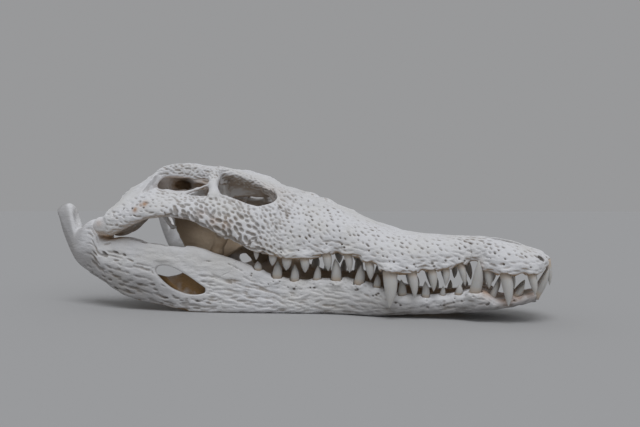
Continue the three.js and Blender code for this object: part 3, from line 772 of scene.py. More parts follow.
def surface(field, clip=2.0):
    """Vertices and quads of the zero surface, in (back, side, up)."""
    solid = np.where(field < clip)
    low = np.array([max(axis.min() - 2, 0) for axis in solid])
    high = np.array([axis.max() + 3 for axis in solid])
    part = np.clip(field[tuple(slice(a, b) for a, b in zip(low, high))], -clip, clip)
    grid = vdb.FloatGrid(clip)
    grid.copyFromArray(np.ascontiguousarray(part, dtype=np.float32))
    points, quads = grid.convertToQuads(isovalue=0.0)
    return points * STEP + FULL.origin + low * STEP, quads


def spread(points, spacing, stretch, order):
    """Picks places that stay a spacing apart, in space squeezed along back by stretch."""
    squeezed = points / np.array([stretch, 1, 1])
    tree = kdtree.KDTree(len(points))
    for i, p in enumerate(squeezed):
        tree.insert(p, i)
    tree.balance()
    taken = np.zeros(len(points), bool)
    picked = []
    for i in order:
        if taken[i]:
            continue
        picked.append(i)
        for _, j, _ in tree.find_range(squeezed[i], spacing[i]):
            taken[j] = True
    return picked


def pit(field, place, normal, along, long, wide, deep, k=0.9):
    """One bowl or slit, carved along its own directions."""
    along = unit(along - normal * (along @ normal))
    across = np.cross(normal, along)
    carve(field, ball(FULL, place, (long, wide, deep), [along, across, normal], 1.5), k)


def scattered(field):
    """Places spread at random over the surface, with their directions out."""
    count = TRIED_PLACES
    points, _ = surface(field)
    points = points[rng.permutation(len(points))[:count]]
    return points, slopes(field, points)


def relief_cranium(field, groups):
    """Honeycomb on the cheek and skull roof, small slanted pits on the snout."""
    ripple(
        field, ((13, 13, 13), 0.5), ((5.5, 5.5, 5.5), 0.28), ((8, 3.2, 2.4), 0.34),
        ((2.6, 2.4, 2.4), 0.13),
    )
    points, normals = scattered(field)
    b, s, u = points.T
    side = np.abs(s)
    out = normals[:, 1] * np.sign(s)
    lying = normals[:, 2]
    nearest = np.argmin([sample(groups[n], points) for n in groups], axis=0)
    kind = np.array(list(groups))[nearest]
    cheek = (kind == "bar") & (out > 0.2) | (kind == "snout") & (out > 0.3) & (b > 240)
    roof = ((kind == "table") | (kind == "frontal")) & (lying > 0.5) & (u > 124) & (b < 404)
    flank = (kind == "frontal") & (out > 0.1) & (u > FRONTAL_TOP(b) - 12)
    flank |= (kind == "table") & (out > 0.3) & (u > TABLE_UNDER(b) + 3) & (b < 408)
    pillar = (kind == "table") & (b < 342) & (side > 41) & (u < 135)
    snout = (kind == "snout") & ((out > 0.25) | (lying > 0.3)) & ~cheek
    snout &= np.hypot((b - 43) / 19, s / 15) > 1
    low = snout & (u < SNOUT_EDGE(b) + 15)
    share = np.clip((u - BAR_LOW(b)) / np.maximum(BAR_HIGH(b) - BAR_LOW(b), 1), 0, 1)
    core = smooth_step(248, 278, b) * (1 - smooth_step(335, 366, b))
    core = core * (1 - 0.75 * smooth_step(0.45, 0.9, share))
    thin = cheek & (rng.random(len(points)) < smooth_step(335, 385, b))
    size = np.select(
        [pillar, thin, cheek, flank, roof, low, snout],
        [0, 1.05, 1.12 + 0.95 * core, 1.1, 1.3, 1.15, 1.2], 0,
    )
    gap = np.select(
        [thin, cheek, flank | roof, snout],
        [4.4, 1.95 * size + 0.8 * (1 - core), 2.4 * size, 2.2 * size + 1.5], 1,
    ) * rng.uniform(0.85, 1.3, len(points))
    order = [i for i in rng.permutation(len(points)) if size[i] > 0]
    for i in spread(points, gap, 1.0, order):
        tilt = 0.75 + rng.normal(0, 0.25)
        big = size[i] * rng.uniform(0.8, 1.15)
        long, wide, deep = rng.uniform(1, 1.25), 0.95, 0.75
        if cheek[i] and not thin[i]:
            tilt = 0.75 + rng.normal(0, 0.35)
            long = rng.uniform(1.05, 1.5) + 0.8 * core[i] * (1 - share[i]) + 0.8 * (1 - core[i])
            wide, deep = rng.uniform(0.8, 0.98), 1.2
        elif low[i] or thin[i]:
            tilt = rng.normal(0.1, 0.2)
            long, wide, deep = rng.uniform(1.8, 3.4), 0.7, 1.15 if thin[i] else 0.75
        elif flank[i] or roof[i]:
            tilt = rng.normal(0.05, 0.3)
            long, wide, deep = rng.uniform(1.2, 2.5), rng.uniform(0.6, 0.85), 1.05
        elif snout[i]:
            long, wide, deep = rng.uniform(0.9, 2.3), 0.68, rng.uniform(0.85, 1.8)
        along = np.array([-math.cos(tilt), 0.0, -math.sin(tilt)])
        pit(field, points[i], normals[i], along, big * long, big * wide, big * deep + 0.15)


JAW_PLAIN = track((225, 0.95), (262, 0.74), (285, 0.64), (330, 0.6), (385, 0.6), (410, 0.74), (430, 0.9))


def jaw_flow(points):
    """Height share on the jaw and the lean of its furrows, between its lower and upper outline."""
    b, _, u = points.T
    low, top = JAW_LOW(b), JAW_TOP(b)
    share = np.clip((u - low) / np.maximum(top - low, 1), 0, 1)
    rise = (1 - share) * (JAW_LOW(b + 6) - JAW_LOW(b - 6)) + share * (JAW_TOP(b + 6) - JAW_TOP(b - 6))
    return share, np.arctan(np.clip(rise / 12, -0.9, 1.4))


FURROW_STRIDE = 3.0
FURROW_WOBBLE = 0.12


def furrows(field, place, steps, radius):
    """Wavy grooves that follow the surface, all grown one step at a time."""
    lean = rng.normal(0, FURROW_WOBBLE, len(place))
    trail = [place]
    for _ in range(max(steps)):
        normal = slopes(field, place)
        place = place - normal * sample(field, place)[:, None]
        lean = 0.6 * lean + rng.normal(0, FURROW_WOBBLE, len(place))
        turn = jaw_flow(place)[1] + lean
        way = np.column_stack([np.cos(turn), np.zeros(len(place)), np.sin(turn)])
        way -= normal * (way * normal).sum(1, keepdims=True)
        place = place + FURROW_STRIDE * way / np.linalg.norm(way, axis=1, keepdims=True)
        trail.append(place)
    for i in range(len(place)):
        for k in range(1, steps[i]):
            wide = radius[i] * (0.75 + 0.25 * math.sin(math.pi * k / steps[i]))
            carve(field, rod(FULL, trail[k][i], trail[k + 1][i], wide, wide, margin=1.5), 0.7)


def relief_jaw(field):
    """Long joined furrows, slits on the hind jaw, small holes along the tooth row."""
    ripple(
        field, ((12, 12, 12), 0.35), ((12, 4, 2.8), 0.38), ((5, 3.2, 3.2), 0.18),
        ((2.6, 2.4, 2.4), 0.1),
    )
    points, normals = scattered(field)
    b, s, u = points.T
    side = np.abs(s)
    out = normals[:, 1] * np.sign(s)
    share, lean = jaw_flow(points)
    outside = (out > 0.25) | ((normals[:, 2] < -0.5) & (side > JAW_OUT(b) * 0.45))
    outside &= side > JAW_IN(b) + 0.45 * (JAW_OUT(b) - JAW_IN(b))
    outside &= ((b < 225) | (share < JAW_PLAIN(b))) & ((b < 446) | (share < 0.1))
    points, normals, share, lean = (x[outside] for x in (points, normals, share, lean))
    b = points[:, 0]
    hind = smooth_step(292, 330, b)
    row = (share > 0.62) & (b < 250)
    order = [i for i in rng.permutation(len(points)) if not row[i]]
    starts = spread(points, rng.uniform(2.9, 4.2, len(points)) * (1 + 0.35 * hind), 4.5, order)
    lengths = rng.integers(3, 9, len(starts))
    radii = rng.uniform(0.55, 1.0, len(starts)) * (1 + 0.45 * hind[starts])
    furrows(field, points[starts], lengths, radii)
    gap = np.select([row, hind > 0.5], [3.1, 5.0], 4.2) * rng.uniform(0.8, 1.25, len(points))
    for i in spread(points, gap, 2.2, rng.permutation(len(points))):
        angle = lean[i] + rng.normal(0, 0.15)
        along = np.array([math.cos(angle), 0.0, math.sin(angle)])
        reach = rng.uniform(1.0, 2.0) if row[i] else rng.uniform(2.6, 5.0)
        wide = rng.uniform(0.7, 1.0) + 0.25 * hind[i]
        deep = rng.uniform(0.7, 1.1) + 1.1 * hind[i] * rng.uniform(0, 1)
        pit(field, points[i], normals[i], along, reach, wide, deep)


def calmed(field, plain, rim, near, far):
    """Takes the relief off again close to an opening, so that its rim is smooth."""
    spot = rim < far
    share = smooth_step(near, far, rim[spot])
    field[spot] = plain[spot] + share * (field[spot] - plain[spot])


# Each nerve opening made so far, as (centre, reach), for the painted shade inside it.
HOLES = []


def hole(field, back, up, sign, limit, lean, long, wide, deep):
    """One nerve opening at the outermost place of the surface at a back and height, noted for its painted
    shade.
    """
    ray = np.array([[back, sign * o, up] for o in np.arange(limit + 4, limit - 16, -0.4)])
    hit = np.nonzero(sample(field, ray) < 0)[0]
    if not len(hit):
        return
    place = ray[hit[0]]
    normal = slopes(field, place[None], 1.6)[0]
    along = np.array([math.cos(lean), 0.0, math.sin(lean)])
    pit(field, place, normal, along, long, wide, deep, 0.5)
    HOLES.append((place - normal * 0.7 * deep, long))


def foramina(field, teeth, rise):
    """Rows of small nerve holes beside the teeth."""
    edge = SNOUT_HALF if rise > 0 else JAW_OUT
    for sign in (-1, 1):
        for back, out, up, *_ in teeth:
            for _ in range(rng.integers(1, 4)):
                b = back + rng.uniform(-6, 6)
                z = up + rise * rng.uniform(0.6, 1.8)
                big = rng.uniform(0.55, 1.15)
                hole(field, b, z, sign, float(edge(b)), 0.3, 1.3 * big, big, 1.7)


# Larger openings of both sides, as (back, up, lean, long, wide, deep).
SNOUT_HOLES = [(9.8, 58.6, 0.62, 3.9, 1.8, 3.2)]
CHEEK_HOLES = [
    (413, 97, 0.5, 1.5, 1.1, 1.5), (403, 103, 0.5, 1.9, 1.2, 1.7), (396, 108, 0.3, 1.2, 1.0, 1.3),
    (391, 103, 0.5, 1.5, 1.1, 1.5), (384, 110, 0.2, 1.8, 1.1, 1.6), (377, 104, 0.1, 1.3, 1.0, 1.4),
    (371, 112, 0.1, 1.6, 1.1, 1.5), (386, 96, 0.3, 2.6, 0.8, 1.2), (399, 94, 0.5, 2.8, 0.8, 1.2),
]
JAW_HOLES = [
    (429, 57, 0.5, 4.4, 1.6, 2.6), (415.5, 58.5, 0.2, 4.4, 1.4, 2.4), (405, 56, 0.4, 2.6, 1.2, 1.8),
    (295, 48, 0.45, 3.6, 0.8, 1.2), (289, 45, 0.45, 3.8, 0.9, 1.3), (284, 42.4, 0.45, 3, 0.8, 1.1),
    (316, 51, 0.1, 3.6, 0.7, 0.8),
    (320, 13.5, 0.15, 1.8, 0.7, 1.3), (327, 11.5, 0.05, 3.0, 0.8, 1.5), (337, 13.5, 0.2, 1.6, 0.8, 1.2),
    (343, 11.8, 0.1, 2.8, 0.7, 1.4), (351, 16, 0.25, 2.0, 0.9, 1.5), (359, 14.2, 0.1, 3.2, 0.8, 1.5),
    (367, 18.8, 0.3, 1.8, 0.8, 1.2),
]


cranium_full = mirrored(whole_cranium)
jaw_full = mirrored(whole_jaw)
groups_full = {name: mirrored(field) for name, field in cranium_groups.items()}
cranium_smooth = cranium_full.copy()
jaw_smooth = jaw_full.copy()
relief_cranium(cranium_full, groups_full)
calmed(cranium_full, cranium_smooth, mirrored(eye_rim), 0.2, 2.4)
foramina(cranium_full, UPPER_TEETH, 7)
relief_jaw(jaw_full)
calmed(jaw_full, jaw_smooth, mirrored(window_rim), 1.0, 4.5)
# The relief also fades out on the hind process.
ahead_of_process = np.broadcast_to((468 - FULL.axes[0])[:, None, None], FULL.shape)
calmed(jaw_full, jaw_smooth, ahead_of_process, 0, 22)
foramina(jaw_full, LOWER_TEETH, -6)
for side_sign in (-1, 1):
    for bone, rows, edge in (
        (cranium_full, SNOUT_HOLES, SNOUT_HALF), (cranium_full, CHEEK_HOLES, BAR_OUT_LOW),
        (jaw_full, JAW_HOLES, JAW_OUT),
    ):
        for back, up, *shape in rows:
            hole(bone, back, up, side_sign, float(edge(back)), *shape)
# The rest on the floor stays flat.
floor_cut, floor_grids = FULL.box((BACK_LOW, -SIDE_HIGH, UP_LOW), (BACK_HIGH, SIDE_HIGH, 3))
jaw_full[floor_cut] = np.maximum(jaw_full[floor_cut], -floor_grids[2])


# ---------- how enclosed a place is, for tan of residue and painted shade ---
COARSE = 4
BLUR_CELLS = 3


def blurred(block, reach):
    """Mean over a box of cells round each cell."""
    for axis in range(3):
        total = np.cumsum(np.concatenate([np.zeros_like(np.take(block, [0], axis)), block], axis), axis)
        n = block.shape[axis]
        high = np.minimum(np.arange(n) + reach + 1, n)
        low = np.maximum(np.arange(n) - reach, 0)
        block = (np.take(total, high, axis) - np.take(total, low, axis)) / (2 * reach + 1)
    return block


solid_cells = (np.minimum(cranium_full, jaw_full) < 0)[::COARSE, ::COARSE, ::COARSE].astype(np.float32)
enclosed = blurred(blurred(solid_cells, BLUR_CELLS), BLUR_CELLS)


def enclosed_at(points):
    at = (points - FULL.origin) / (STEP * COARSE)
    at = np.clip(np.rint(at).astype(int), 0, np.array(enclosed.shape) - 1)
    return enclosed[at[:, 0], at[:, 1], at[:, 2]]


# ---------- materials ----------
def node(tree, kind, inputs=None, **settings):
    made = tree.nodes.new(kind)
    for key, value in settings.items():
        setattr(made, key, value)
    for key, value in (inputs or {}).items():
        if hasattr(value, "is_output"):
            tree.links.new(value, made.inputs[key])
        else:
            made.inputs[key].default_value = value
    return made


def ramp(tree, value, low, high):
    """Spreads the values from low to high over 0 to 1."""
    made = node(tree, "ShaderNodeMapRange", {"Value": value, "From Min": low, "From Max": high})
    return made.outputs["Result"]


def spanned(tree, value, low, high):
    """Spreads the values from 0 to 1 over low to high."""
    made = node(tree, "ShaderNodeMapRange", {"Value": value, "To Min": low, "To Max": high})
    return made.outputs["Result"]


# Sockets of a colour Mix node: its factor, its two colours and its result.
MIX_FACTOR, MIX_A, MIX_B, MIX_RESULT = 0, 6, 7, 2


def mix(tree, factor, a, b):
    made = node(tree, "ShaderNodeMix", {MIX_FACTOR: factor, MIX_A: a, MIX_B: b}, data_type="RGBA")
    return made.outputs[MIX_RESULT]


def times(tree, a, b):
    return node(tree, "ShaderNodeMath", {0: a, 1: b}, operation="MULTIPLY").outputs[0]


def layer(tree, name):
    return node(tree, "ShaderNodeAttribute", attribute_name=name).outputs["Fac"]


def stretched(tree, place, scale):
    return node(tree, "ShaderNodeMapping", {"Vector": place, "Scale": scale}).outputs["Vector"]


def new_material(name):
    """A material with its node tree, its shader and the place on the object."""
    material = bpy.data.materials.new(name)
    material.use_nodes = True
    tree = material.node_tree
    place = node(tree, "ShaderNodeTexCoord").outputs["Object"]
    return material, tree, tree.nodes["Principled BSDF"], place


def noise(tree, place, scale, detail=4.0, rough=0.55):
    return node(
        tree, "ShaderNodeTexNoise",
        {"Vector": place, "Scale": scale, "Detail": detail, "Roughness": rough},
    ).outputs["Fac"]


# Colours on the bone: dirt, painted shade in pits, rust, painted shade towards near black and specks; and
# colours of the teeth.
DIRT = (0.27, 0.18, 0.10, 1)
PIT_SHADE = (0.31, 0.27, 0.23, 1)
RUST = (0.46, 0.23, 0.09, 1)
SHADE_BLACK = (0.05, 0.035, 0.025, 1)
SPECK = (0.42, 0.36, 0.29, 1)
TOOTH_PALE, TOOTH_WARM = (0.62, 0.62, 0.62, 1), (0.56, 0.54, 0.50, 1)
TOOTH_NECK, TOOTH_STREAK = (0.60, 0.44, 0.28, 1), (0.52, 0.45, 0.36, 1)
# Grain of the bone, as (noise scale, stretch along back, strength, height in metres).
GRAIN = ((230.0, 0.4, 0.6, 0.0015), (560.0, 0.5, 0.6, 0.001), (2200.0, 1.0, 0.25, 0.0002))


def bone_material(name, light, cream, tan):
    material, tree, shader, place = new_material(name)
    inner, hollow, stain, painted_shade = (layer(tree, key) for key in ("inner", "hollow", "stain", "painted_shade"))
    broad = noise(tree, place, 26.0, 3.0)
    colour = mix(tree, ramp(tree, broad, 0.42, 0.72), light, cream)
    patches = noise(tree, place, 60.0, 5.0)
    # Tan: the colour of residue, and painted shade, on inner, enclosed and downward-facing places.
    colour = mix(tree, times(tree, inner, ramp(tree, patches, 0.05, 0.45)), colour, tan)
    dirt = ramp(tree, noise(tree, place, 75.0, 4.0), 0.48, 0.72)
    colour = mix(tree, times(tree, times(tree, hollow, dirt), 0.7), colour, DIRT)
    # Painted shade in pits, stronger where a pit is deeper.
    colour = mix(tree, times(tree, hollow, 0.48), colour, PIT_SHADE)
    colour = mix(tree, stain, colour, RUST)
    # Painted shade towards near black in the nostril, pits, nerve holes, ear and the low or hollow parts of
    # the jaw.
    colour = mix(tree, painted_shade, colour, SHADE_BLACK)
    speck = ramp(tree, noise(tree, place, 950.0, 2.0), 0.66, 0.74)
    colour = mix(tree, times(tree, speck, 0.22), colour, SPECK)
    tree.links.new(colour, shader.inputs["Base Color"])
    tree.links.new(spanned(tree, noise(tree, place, 180.0), 0.52, 0.78), shader.inputs["Roughness"])
    shader.inputs["Specular IOR Level"].default_value = 0.35
    bump = None
    for scale, stretch, strength, height in GRAIN:
        grain = noise(tree, stretched(tree, place, (stretch, 1.0, 1.0)), scale, 5.0, 0.6)
        wave = {"Height": grain, "Strength": strength, "Distance": height}
        if bump:
            wave["Normal"] = bump
        bump = node(tree, "ShaderNodeBump", wave).outputs["Normal"]
    tree.links.new(bump, shader.inputs["Normal"])
    return material


def tooth_material():
    material, tree, shader, place = new_material("tooth_ivory")
    colour = mix(tree, noise(tree, place, 120.0), TOOTH_PALE, TOOTH_WARM)
    colour = mix(tree, layer(tree, "inner"), colour, TOOTH_NECK)
    streaks = noise(tree, stretched(tree, place, (1.0, 1.0, 0.12)), 1500.0, 3.0)
    colour = mix(tree, times(tree, ramp(tree, streaks, 0.56, 0.72), 0.35), colour, TOOTH_STREAK)
    tree.links.new(colour, shader.inputs["Base Color"])
    tree.links.new(spanned(tree, streaks, 0.28, 0.42), shader.inputs["Roughness"])
    bump = node(
        tree, "ShaderNodeBump", {"Height": streaks, "Strength": 0.2, "Distance": 0.0003}
    ).outputs["Normal"]
    tree.links.new(bump, shader.inputs["Normal"])
    shader.inputs["Subsurface Weight"].default_value = 0.12
    shader.inputs["Subsurface Radius"].default_value = (0.004, 0.003, 0.002)
    return material


WHITE_BONE = bone_material(
    "bleached_bone", (0.82, 0.82, 0.835, 1), (0.77, 0.76, 0.74, 1), (0.37, 0.215, 0.08, 1)
)
# Tan bone of the inner bones: the colour of residue, with painted shade for their lying enclosed.
SHADED_TAN_BONE = bone_material(
    "shaded_tan_bone", (0.52, 0.44, 0.34, 1), (0.40, 0.31, 0.22, 1), (0.29, 0.185, 0.10, 1)
)
IVORY = tooth_material()

# Rust-brown spots, as (back, side, up, radius, strength).
STAINS = [
    (377, 96, 108, 3.0, 0.9), (381, 96.5, 107, 2.4, 0.5), (386, 99, 102, 2.8, 0.85),
    (436, 94, 84, 4.5, 0.5), (430, 101, 88, 4, 0.3), (441, 90, 88, 4, 0.35),
    (66, 27, 50, 6, 0.55), (44, 30, 40, 5, 0.4), (12, 12, 32, 7, 0.5),
    (306, 82, 91, 5, 0.3), (294, 80, 87, 5, 0.25), (318, 84, 98, 5, 0.15),
    (96, -24, 25, 11, 0.4), (80, -22, 27, 11, 0.55), (62, -25, 29, 10, 0.6), (45, -18, 24, 10, 0.6),
    (28, -14, 27, 9, 0.55), (96, -24, 50, 9, 0.45), (62, -18, 52, 9, 0.6), (38, -20, 48, 9, 0.55),
    (56, 24, 28, 7, 0.75), (40, 22, 24, 8, 0.75), (30, 20, 27, 7, 0.75), (20, 17, 28, 6, 0.6),
    (460, 80, 84, 6, 0.25),
]


def row_frame(points):
    return np.column_stack([FRONT_X - points[:, 0], -points[:, 1], points[:, 2]]) * MM


def attribute(mesh, name, values):
    made = mesh.attributes.new(name, "FLOAT", "POINT")
    made.data.foreach_set("value", values.astype(np.float32))


# ---------- teeth ----------
TOOTH_SIDES = 20
TOOTH_RINGS = 14
ROOT_DEPTH = 5.0


def tooth_mesh(row, sign):
    """A bent cone with two faint cutting edges, its root hidden in the socket."""
    back, out, up, tip_back, tip_out, tip_up, thick = row
    root = np.array([back, sign * out, up])
    tip = np.array([tip_back, sign * tip_out, tip_up])
    length = np.linalg.norm(tip - root)
    way = (tip - root) / length
    across = unit(np.cross(way, (0, 1, 0)))
    third = np.cross(way, across)
    start = -ROOT_DEPTH / length
    shares = start + (1 - start) * (1 - (1 - np.linspace(0, 1, TOOTH_RINGS)) ** 1.35)
    radius = 0.46 * thick * np.where(
        shares < 0.1, 1.0, (1 - ((np.maximum(shares, 0.1) - 0.1) / 0.9) ** 1.95) ** 0.8
    )
    radius = np.maximum(radius, 0.035 * thick)
    points = []
    for t, r in zip(shares, radius):
        bend = 0.04 * length * 4 * max(t, 0) * (1 - t)
        middle = root + way * (t * length) + np.array([-bend, sign * bend * 0.5, 0])
        turn = 2 * math.pi * np.arange(TOOTH_SIDES) / TOOTH_SIDES
        edge = 1 + 0.06 * np.abs(np.cos(turn)) ** 6
        ring = middle + np.outer(np.cos(turn) * edge * r, across) + np.outer(np.sin(turn) * 0.9 * r, third)
        points.append(ring)
    points.append((points[0].mean(0))[None])
    points.append((tip + way * 0.02 * thick)[None])
    points = np.concatenate(points)
    i = np.arange(TOOTH_SIDES)
    after = (i + 1) % TOOTH_SIDES
    faces = []
    for r in range(TOOTH_RINGS - 1):
        a, b = r * TOOTH_SIDES, (r + 1) * TOOTH_SIDES
        faces += np.column_stack([a + i, a + after, b + after, b + i]).tolist()
    end = TOOTH_RINGS * TOOTH_SIDES
    faces += np.column_stack([after, i, np.full(TOOTH_SIDES, end)]).tolist()
    last = (TOOTH_RINGS - 1) * TOOTH_SIDES
    faces += np.column_stack([last + i, last + after, np.full(TOOTH_SIDES, end + 1)]).tolist()
    neck = np.clip(1 - np.concatenate([np.repeat(shares, TOOTH_SIDES), [start, 1.0]]) / 0.16, 0, 1)
    return points, faces, neck * 0.5


def turned_out(points, faces):
    """Reverses faces that look inwards."""
    rows = np.array([f[:3] for f in faces])
    a, b, c = (points[rows[:, n]] for n in range(3))
    size = np.einsum("ij,ij->i", a - points.mean(0), np.cross(b - a, c - a)).sum()
    return faces if size > 0 else [f[::-1] for f in faces]


# ---------- pieces ----------
EAR = (379, 21, 130)
EYE_WALL, EYE_WALL_REACH = (287, 32, 112), (26, 14, 14)
# Bone kinds, as (slot, material, least tan).
OUTER_BONE = ("bone", WHITE_BONE, 0.0)
INNER_BONE = ("inner_bone", SHADED_TAN_BONE, 0.7)


def glow(points, centre, reach):
    """1 at a place, fading out over its reach."""
    away = np.linalg.norm(points - centre, axis=1) / reach
    return np.exp(-away * away)


def chamber_of_jaw(points):
    """How far a place lies inside the hollow of the hind jaw, from 0 to 1."""
    b, s, u = points.T
    side, inner, outer, top = np.abs(s), JAW_IN(b), JAW_OUT(b), JAW_TOP(b)
    ends = smooth_step(296, 312, b) * (1 - smooth_step(396, 412, b))
    walls = smooth_step(inner + 0.5, inner + 3.5, side) * (1 - smooth_step(outer - 5.5, outer - 3.5, side))
    return ends * walls * (1 - smooth_step(top - 8, top - 4, u))


def residue_and_shade_tan(points, normals, is_jaw):
    """Tan of residue and painted shade on the inner faces, the underside and the hind chamber of the jaw."""
    b, s, u = points.T
    side = np.abs(s)
    out = normals[:, 1] * np.sign(s)
    if is_jaw:
        inner = 0.75 * smooth_step(0.05, 0.45, -out) * (1 - smooth_step(300, 420, b))
        ledge = 0.5 * smooth_step(0.5, 0.9, normals[:, 2]) * (side < JAW_IN(b) + 8) * (b < 90)
        return np.maximum(np.maximum(inner, ledge), chamber_of_jaw(points))
    under = smooth_step(0.3, 0.75, -normals[:, 2])
    return under * np.where((b < 262) & (u < SNOUT_EDGE(b) + 14), 0.85, 0.55)


def tan_of_residue_and_shade(points, normals, is_jaw, least):
    """How tan each place is, from 0 to 1: tan of residue and painted shade where a place is enclosed, on
    inner faces and undersides, and on the wall of the eye opening.
    """
    shut = enclosed_at(points + normals * 7)
    tan = np.maximum(smooth_step(0.30, 0.62, shut) * 0.9, residue_and_shade_tan(points, normals, is_jaw))
    tan = np.maximum(tan, least * (0.55 + 0.45 * tan))
    if is_jaw:
        return tan
    b, s, u = points.T
    side = np.abs(s)
    from_wall = (np.column_stack([b, side, u]) - EYE_WALL) / EYE_WALL_REACH
    tan = np.maximum(tan, 0.6 * glow(from_wall, 0, 1))
    return tan * (1 - 0.6 * smooth_step(380, 392, b) * (side > 36) * (u > 112))


def stained(points):
    """How strong the rust-brown spots are at each place."""
    stain = np.zeros(len(points))
    for *place, radius, strength in STAINS:
        stain = np.maximum(stain, strength * glow(points, place, radius))
    return stain


def painted_shade_of(points, normals, depth, is_jaw):
    """Painted shade, from 0 to 1 towards near black: in the nostril, pits, nerve holes and ear, and on the
    low front and rear, the back-facing side of the hind process and the hind chamber of the jaw.
    """
    b, s, u = points.T
    naris = np.hypot((b - 43) / 16.6, s / 11.8)
    # Painted shade in the nostril, in deep pits and in nerve holes.
    painted_shade = (1 - smooth_step(0.9, 1.0, naris)) * smooth_step(0.6, 1.6, SNOUT_TOP(b) - u) * (u > 58)
    pits = np.where((b < 262) & (not is_jaw), 0.55, 0.2)
    painted_shade = np.maximum(painted_shade, pits * smooth_step(1.2, 2.1, depth))
    for centre, reach in HOLES:
        painted_shade = np.maximum(painted_shade, 0.6 * glow(points, centre, reach) * smooth_step(0.5, 1.4, depth))
    if not is_jaw:
        return np.maximum(painted_shade, 0.8 * glow(np.column_stack([b, np.abs(s), u]), EAR, 9))
    # Painted shade on the low front and low rear of the jaw, on the back-facing side of the hind process and
    # in the hind chamber.
    share = jaw_flow(points)[0]
    front = (1 - smooth_step(0.2, 0.85, share)) * (1 - smooth_step(120, 240, b))
    rear = (1 - smooth_step(0.25, 0.65, share)) * smooth_step(300, 390, b)
    process = smooth_step(452, 474, b) * smooth_step(-0.45, 0.25, normals[:, 0])
    chamber = chamber_of_jaw(points)
    for part, strength in ((front, 0.6), (rear, 0.55), (process, 0.5), (chamber, 0.35)):
        painted_shade = np.maximum(painted_shade, strength * part)
    return painted_shade


def joined_mesh(name, bone, teeth, materials):
    """One mesh of a bone and its teeth, each given as (points, faces, layers of values)."""
    all_points, all_faces, values = [], [], {key: [] for key in bone[2]}
    count = 0
    for points, faces, layers in (bone, *teeth):
        all_faces += [[v + count for v in face] for face in turned_out(points, faces)]
        all_points.append(points)
        count += len(points)
        for key, parts in values.items():
            parts.append(layers[key] if key in layers else np.zeros(len(points)))
    mesh = bpy.data.meshes.new(name)
    mesh.from_pydata(np.concatenate(all_points), [], all_faces)
    for material in materials:
        mesh.materials.append(material)
    of_tooth = np.arange(len(all_faces)) >= len(bone[1])
    mesh.polygons.foreach_set("material_index", of_tooth.astype(np.int32))
    mesh.polygons.foreach_set("use_smooth", np.ones(len(all_faces), bool))
    for key, parts in values.items():
        attribute(mesh, key, np.concatenate(parts))
    mesh.update()
    return mesh


def piece(name, field, smooth_field, kind=OUTER_BONE, rows=(), signs=()):
    """The piece of one bone, with its teeth, in place of the CAD node of that name."""
    slot, material, least_tan = kind
    points, quads = surface(field)
    normals = slopes(field, points)
    depth = np.clip(-sample(smooth_field, points), 0, 2.2)
    is_jaw = smooth_field is jaw_smooth
    # Layers: tan of residue and painted shade, pit depth for dirt and painted pit shade, rust stains, painted
    # shade.
    layers = {
        "inner": tan_of_residue_and_shade(points, normals, is_jaw, least_tan), "hollow": smooth_step(0.3, 1.3, depth),
        "stain": stained(points), "painted_shade": painted_shade_of(points, normals, depth, is_jaw),
    }
    teeth = [tooth_mesh(row, sign) for row in rows for sign in signs]
    teeth = [(row_frame(own), faces, {"inner": neck}) for own, faces, neck in teeth]
    materials = [material, IVORY] if teeth else [material]
    mesh = joined_mesh(f"{name}_bone", (row_frame(points), quads.tolist(), layers), teeth, materials)
    made = bpy.data.objects.new(f"{name}_bone", mesh)
    bpy.context.scene.collection.objects.link(made)
    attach(made, "root")
    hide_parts(name)
    print(made.name, len(points), "vertices")


OVERLAP = 0.35
backs, sides, ups = FULL.box((BACK_LOW, -SIDE_HIGH, UP_LOW), (BACK_HIGH, SIDE_HIGH, UP_HIGH))[1]
wander = 0.5 * np.sin(ups / 1.6 + np.sin(sides / 2.7)) + 0.5 * np.sin(sides / 1.8 + backs / 2.9)
wander = wander.astype(np.float32)


def only(field, *limits):
    """The part of a field where every limit is below zero, a little past the seam."""
    result = field
    for limit in limits:
        result = np.maximum(result, limit - OVERLAP)
    return result


def groups_limit(name):
    others = [groups_full[n] for n in groups_full if n != name]
    nearest = others[0]
    for other in others[1:]:
        nearest = np.minimum(nearest, other)
    return (groups_full[name] - nearest) * 0.5


# The maxilla reaches further back under the cheek, to its last tooth.
cheek_seam = np.interp(FULL.axes[2], [0, 66, 74, 200], [279, 279, SNOUT_BACK, SNOUT_BACK])[None, None, :]


def bones_of_cranium():
    seam_out = np.array([5, 12, 20, 30, 60.0])
    seam_back = np.array([95, 84, 70, 67, 66.0])
    front_seam = np.interp(np.abs(FULL.axes[1]), seam_out, seam_back)[None, :, None]
    in_premaxilla = backs - front_seam + wander
    nasal_half = track((60, 4), (96, 9), (150, 10), (210, 13), (250, 13), (264, 8))
    roof = (SNOUT_TOP(FULL.axes[0]) - 7)[:, None, None] - ups
    in_nasal = np.maximum(np.abs(sides) - nasal_half(FULL.axes[0])[:, None, None] + wander, roof)
    in_nasal = np.maximum(in_nasal, np.maximum(62 - backs, backs - 250))
    in_nasal = np.maximum(in_nasal, -in_premaxilla)
    # The closed seams show as fine grooves.
    for limit, depth in ((in_premaxilla, 0.5), (in_nasal, 0.25)):
        cranium_full[:] = cranium_full + depth * np.exp(-((limit / 0.7) ** 2))
    snout = only(cranium_full, backs - cheek_seam + wander)
    return {
        "premaxilla": only(snout, in_premaxilla),
        "nasal": only(snout, in_nasal),
        "maxilla_right": only(snout, -in_premaxilla, -in_nasal, -sides),
        "maxilla_left": only(snout, -in_premaxilla, -in_nasal, sides),
    }


SIDES = (("right", 1), ("left", -1))


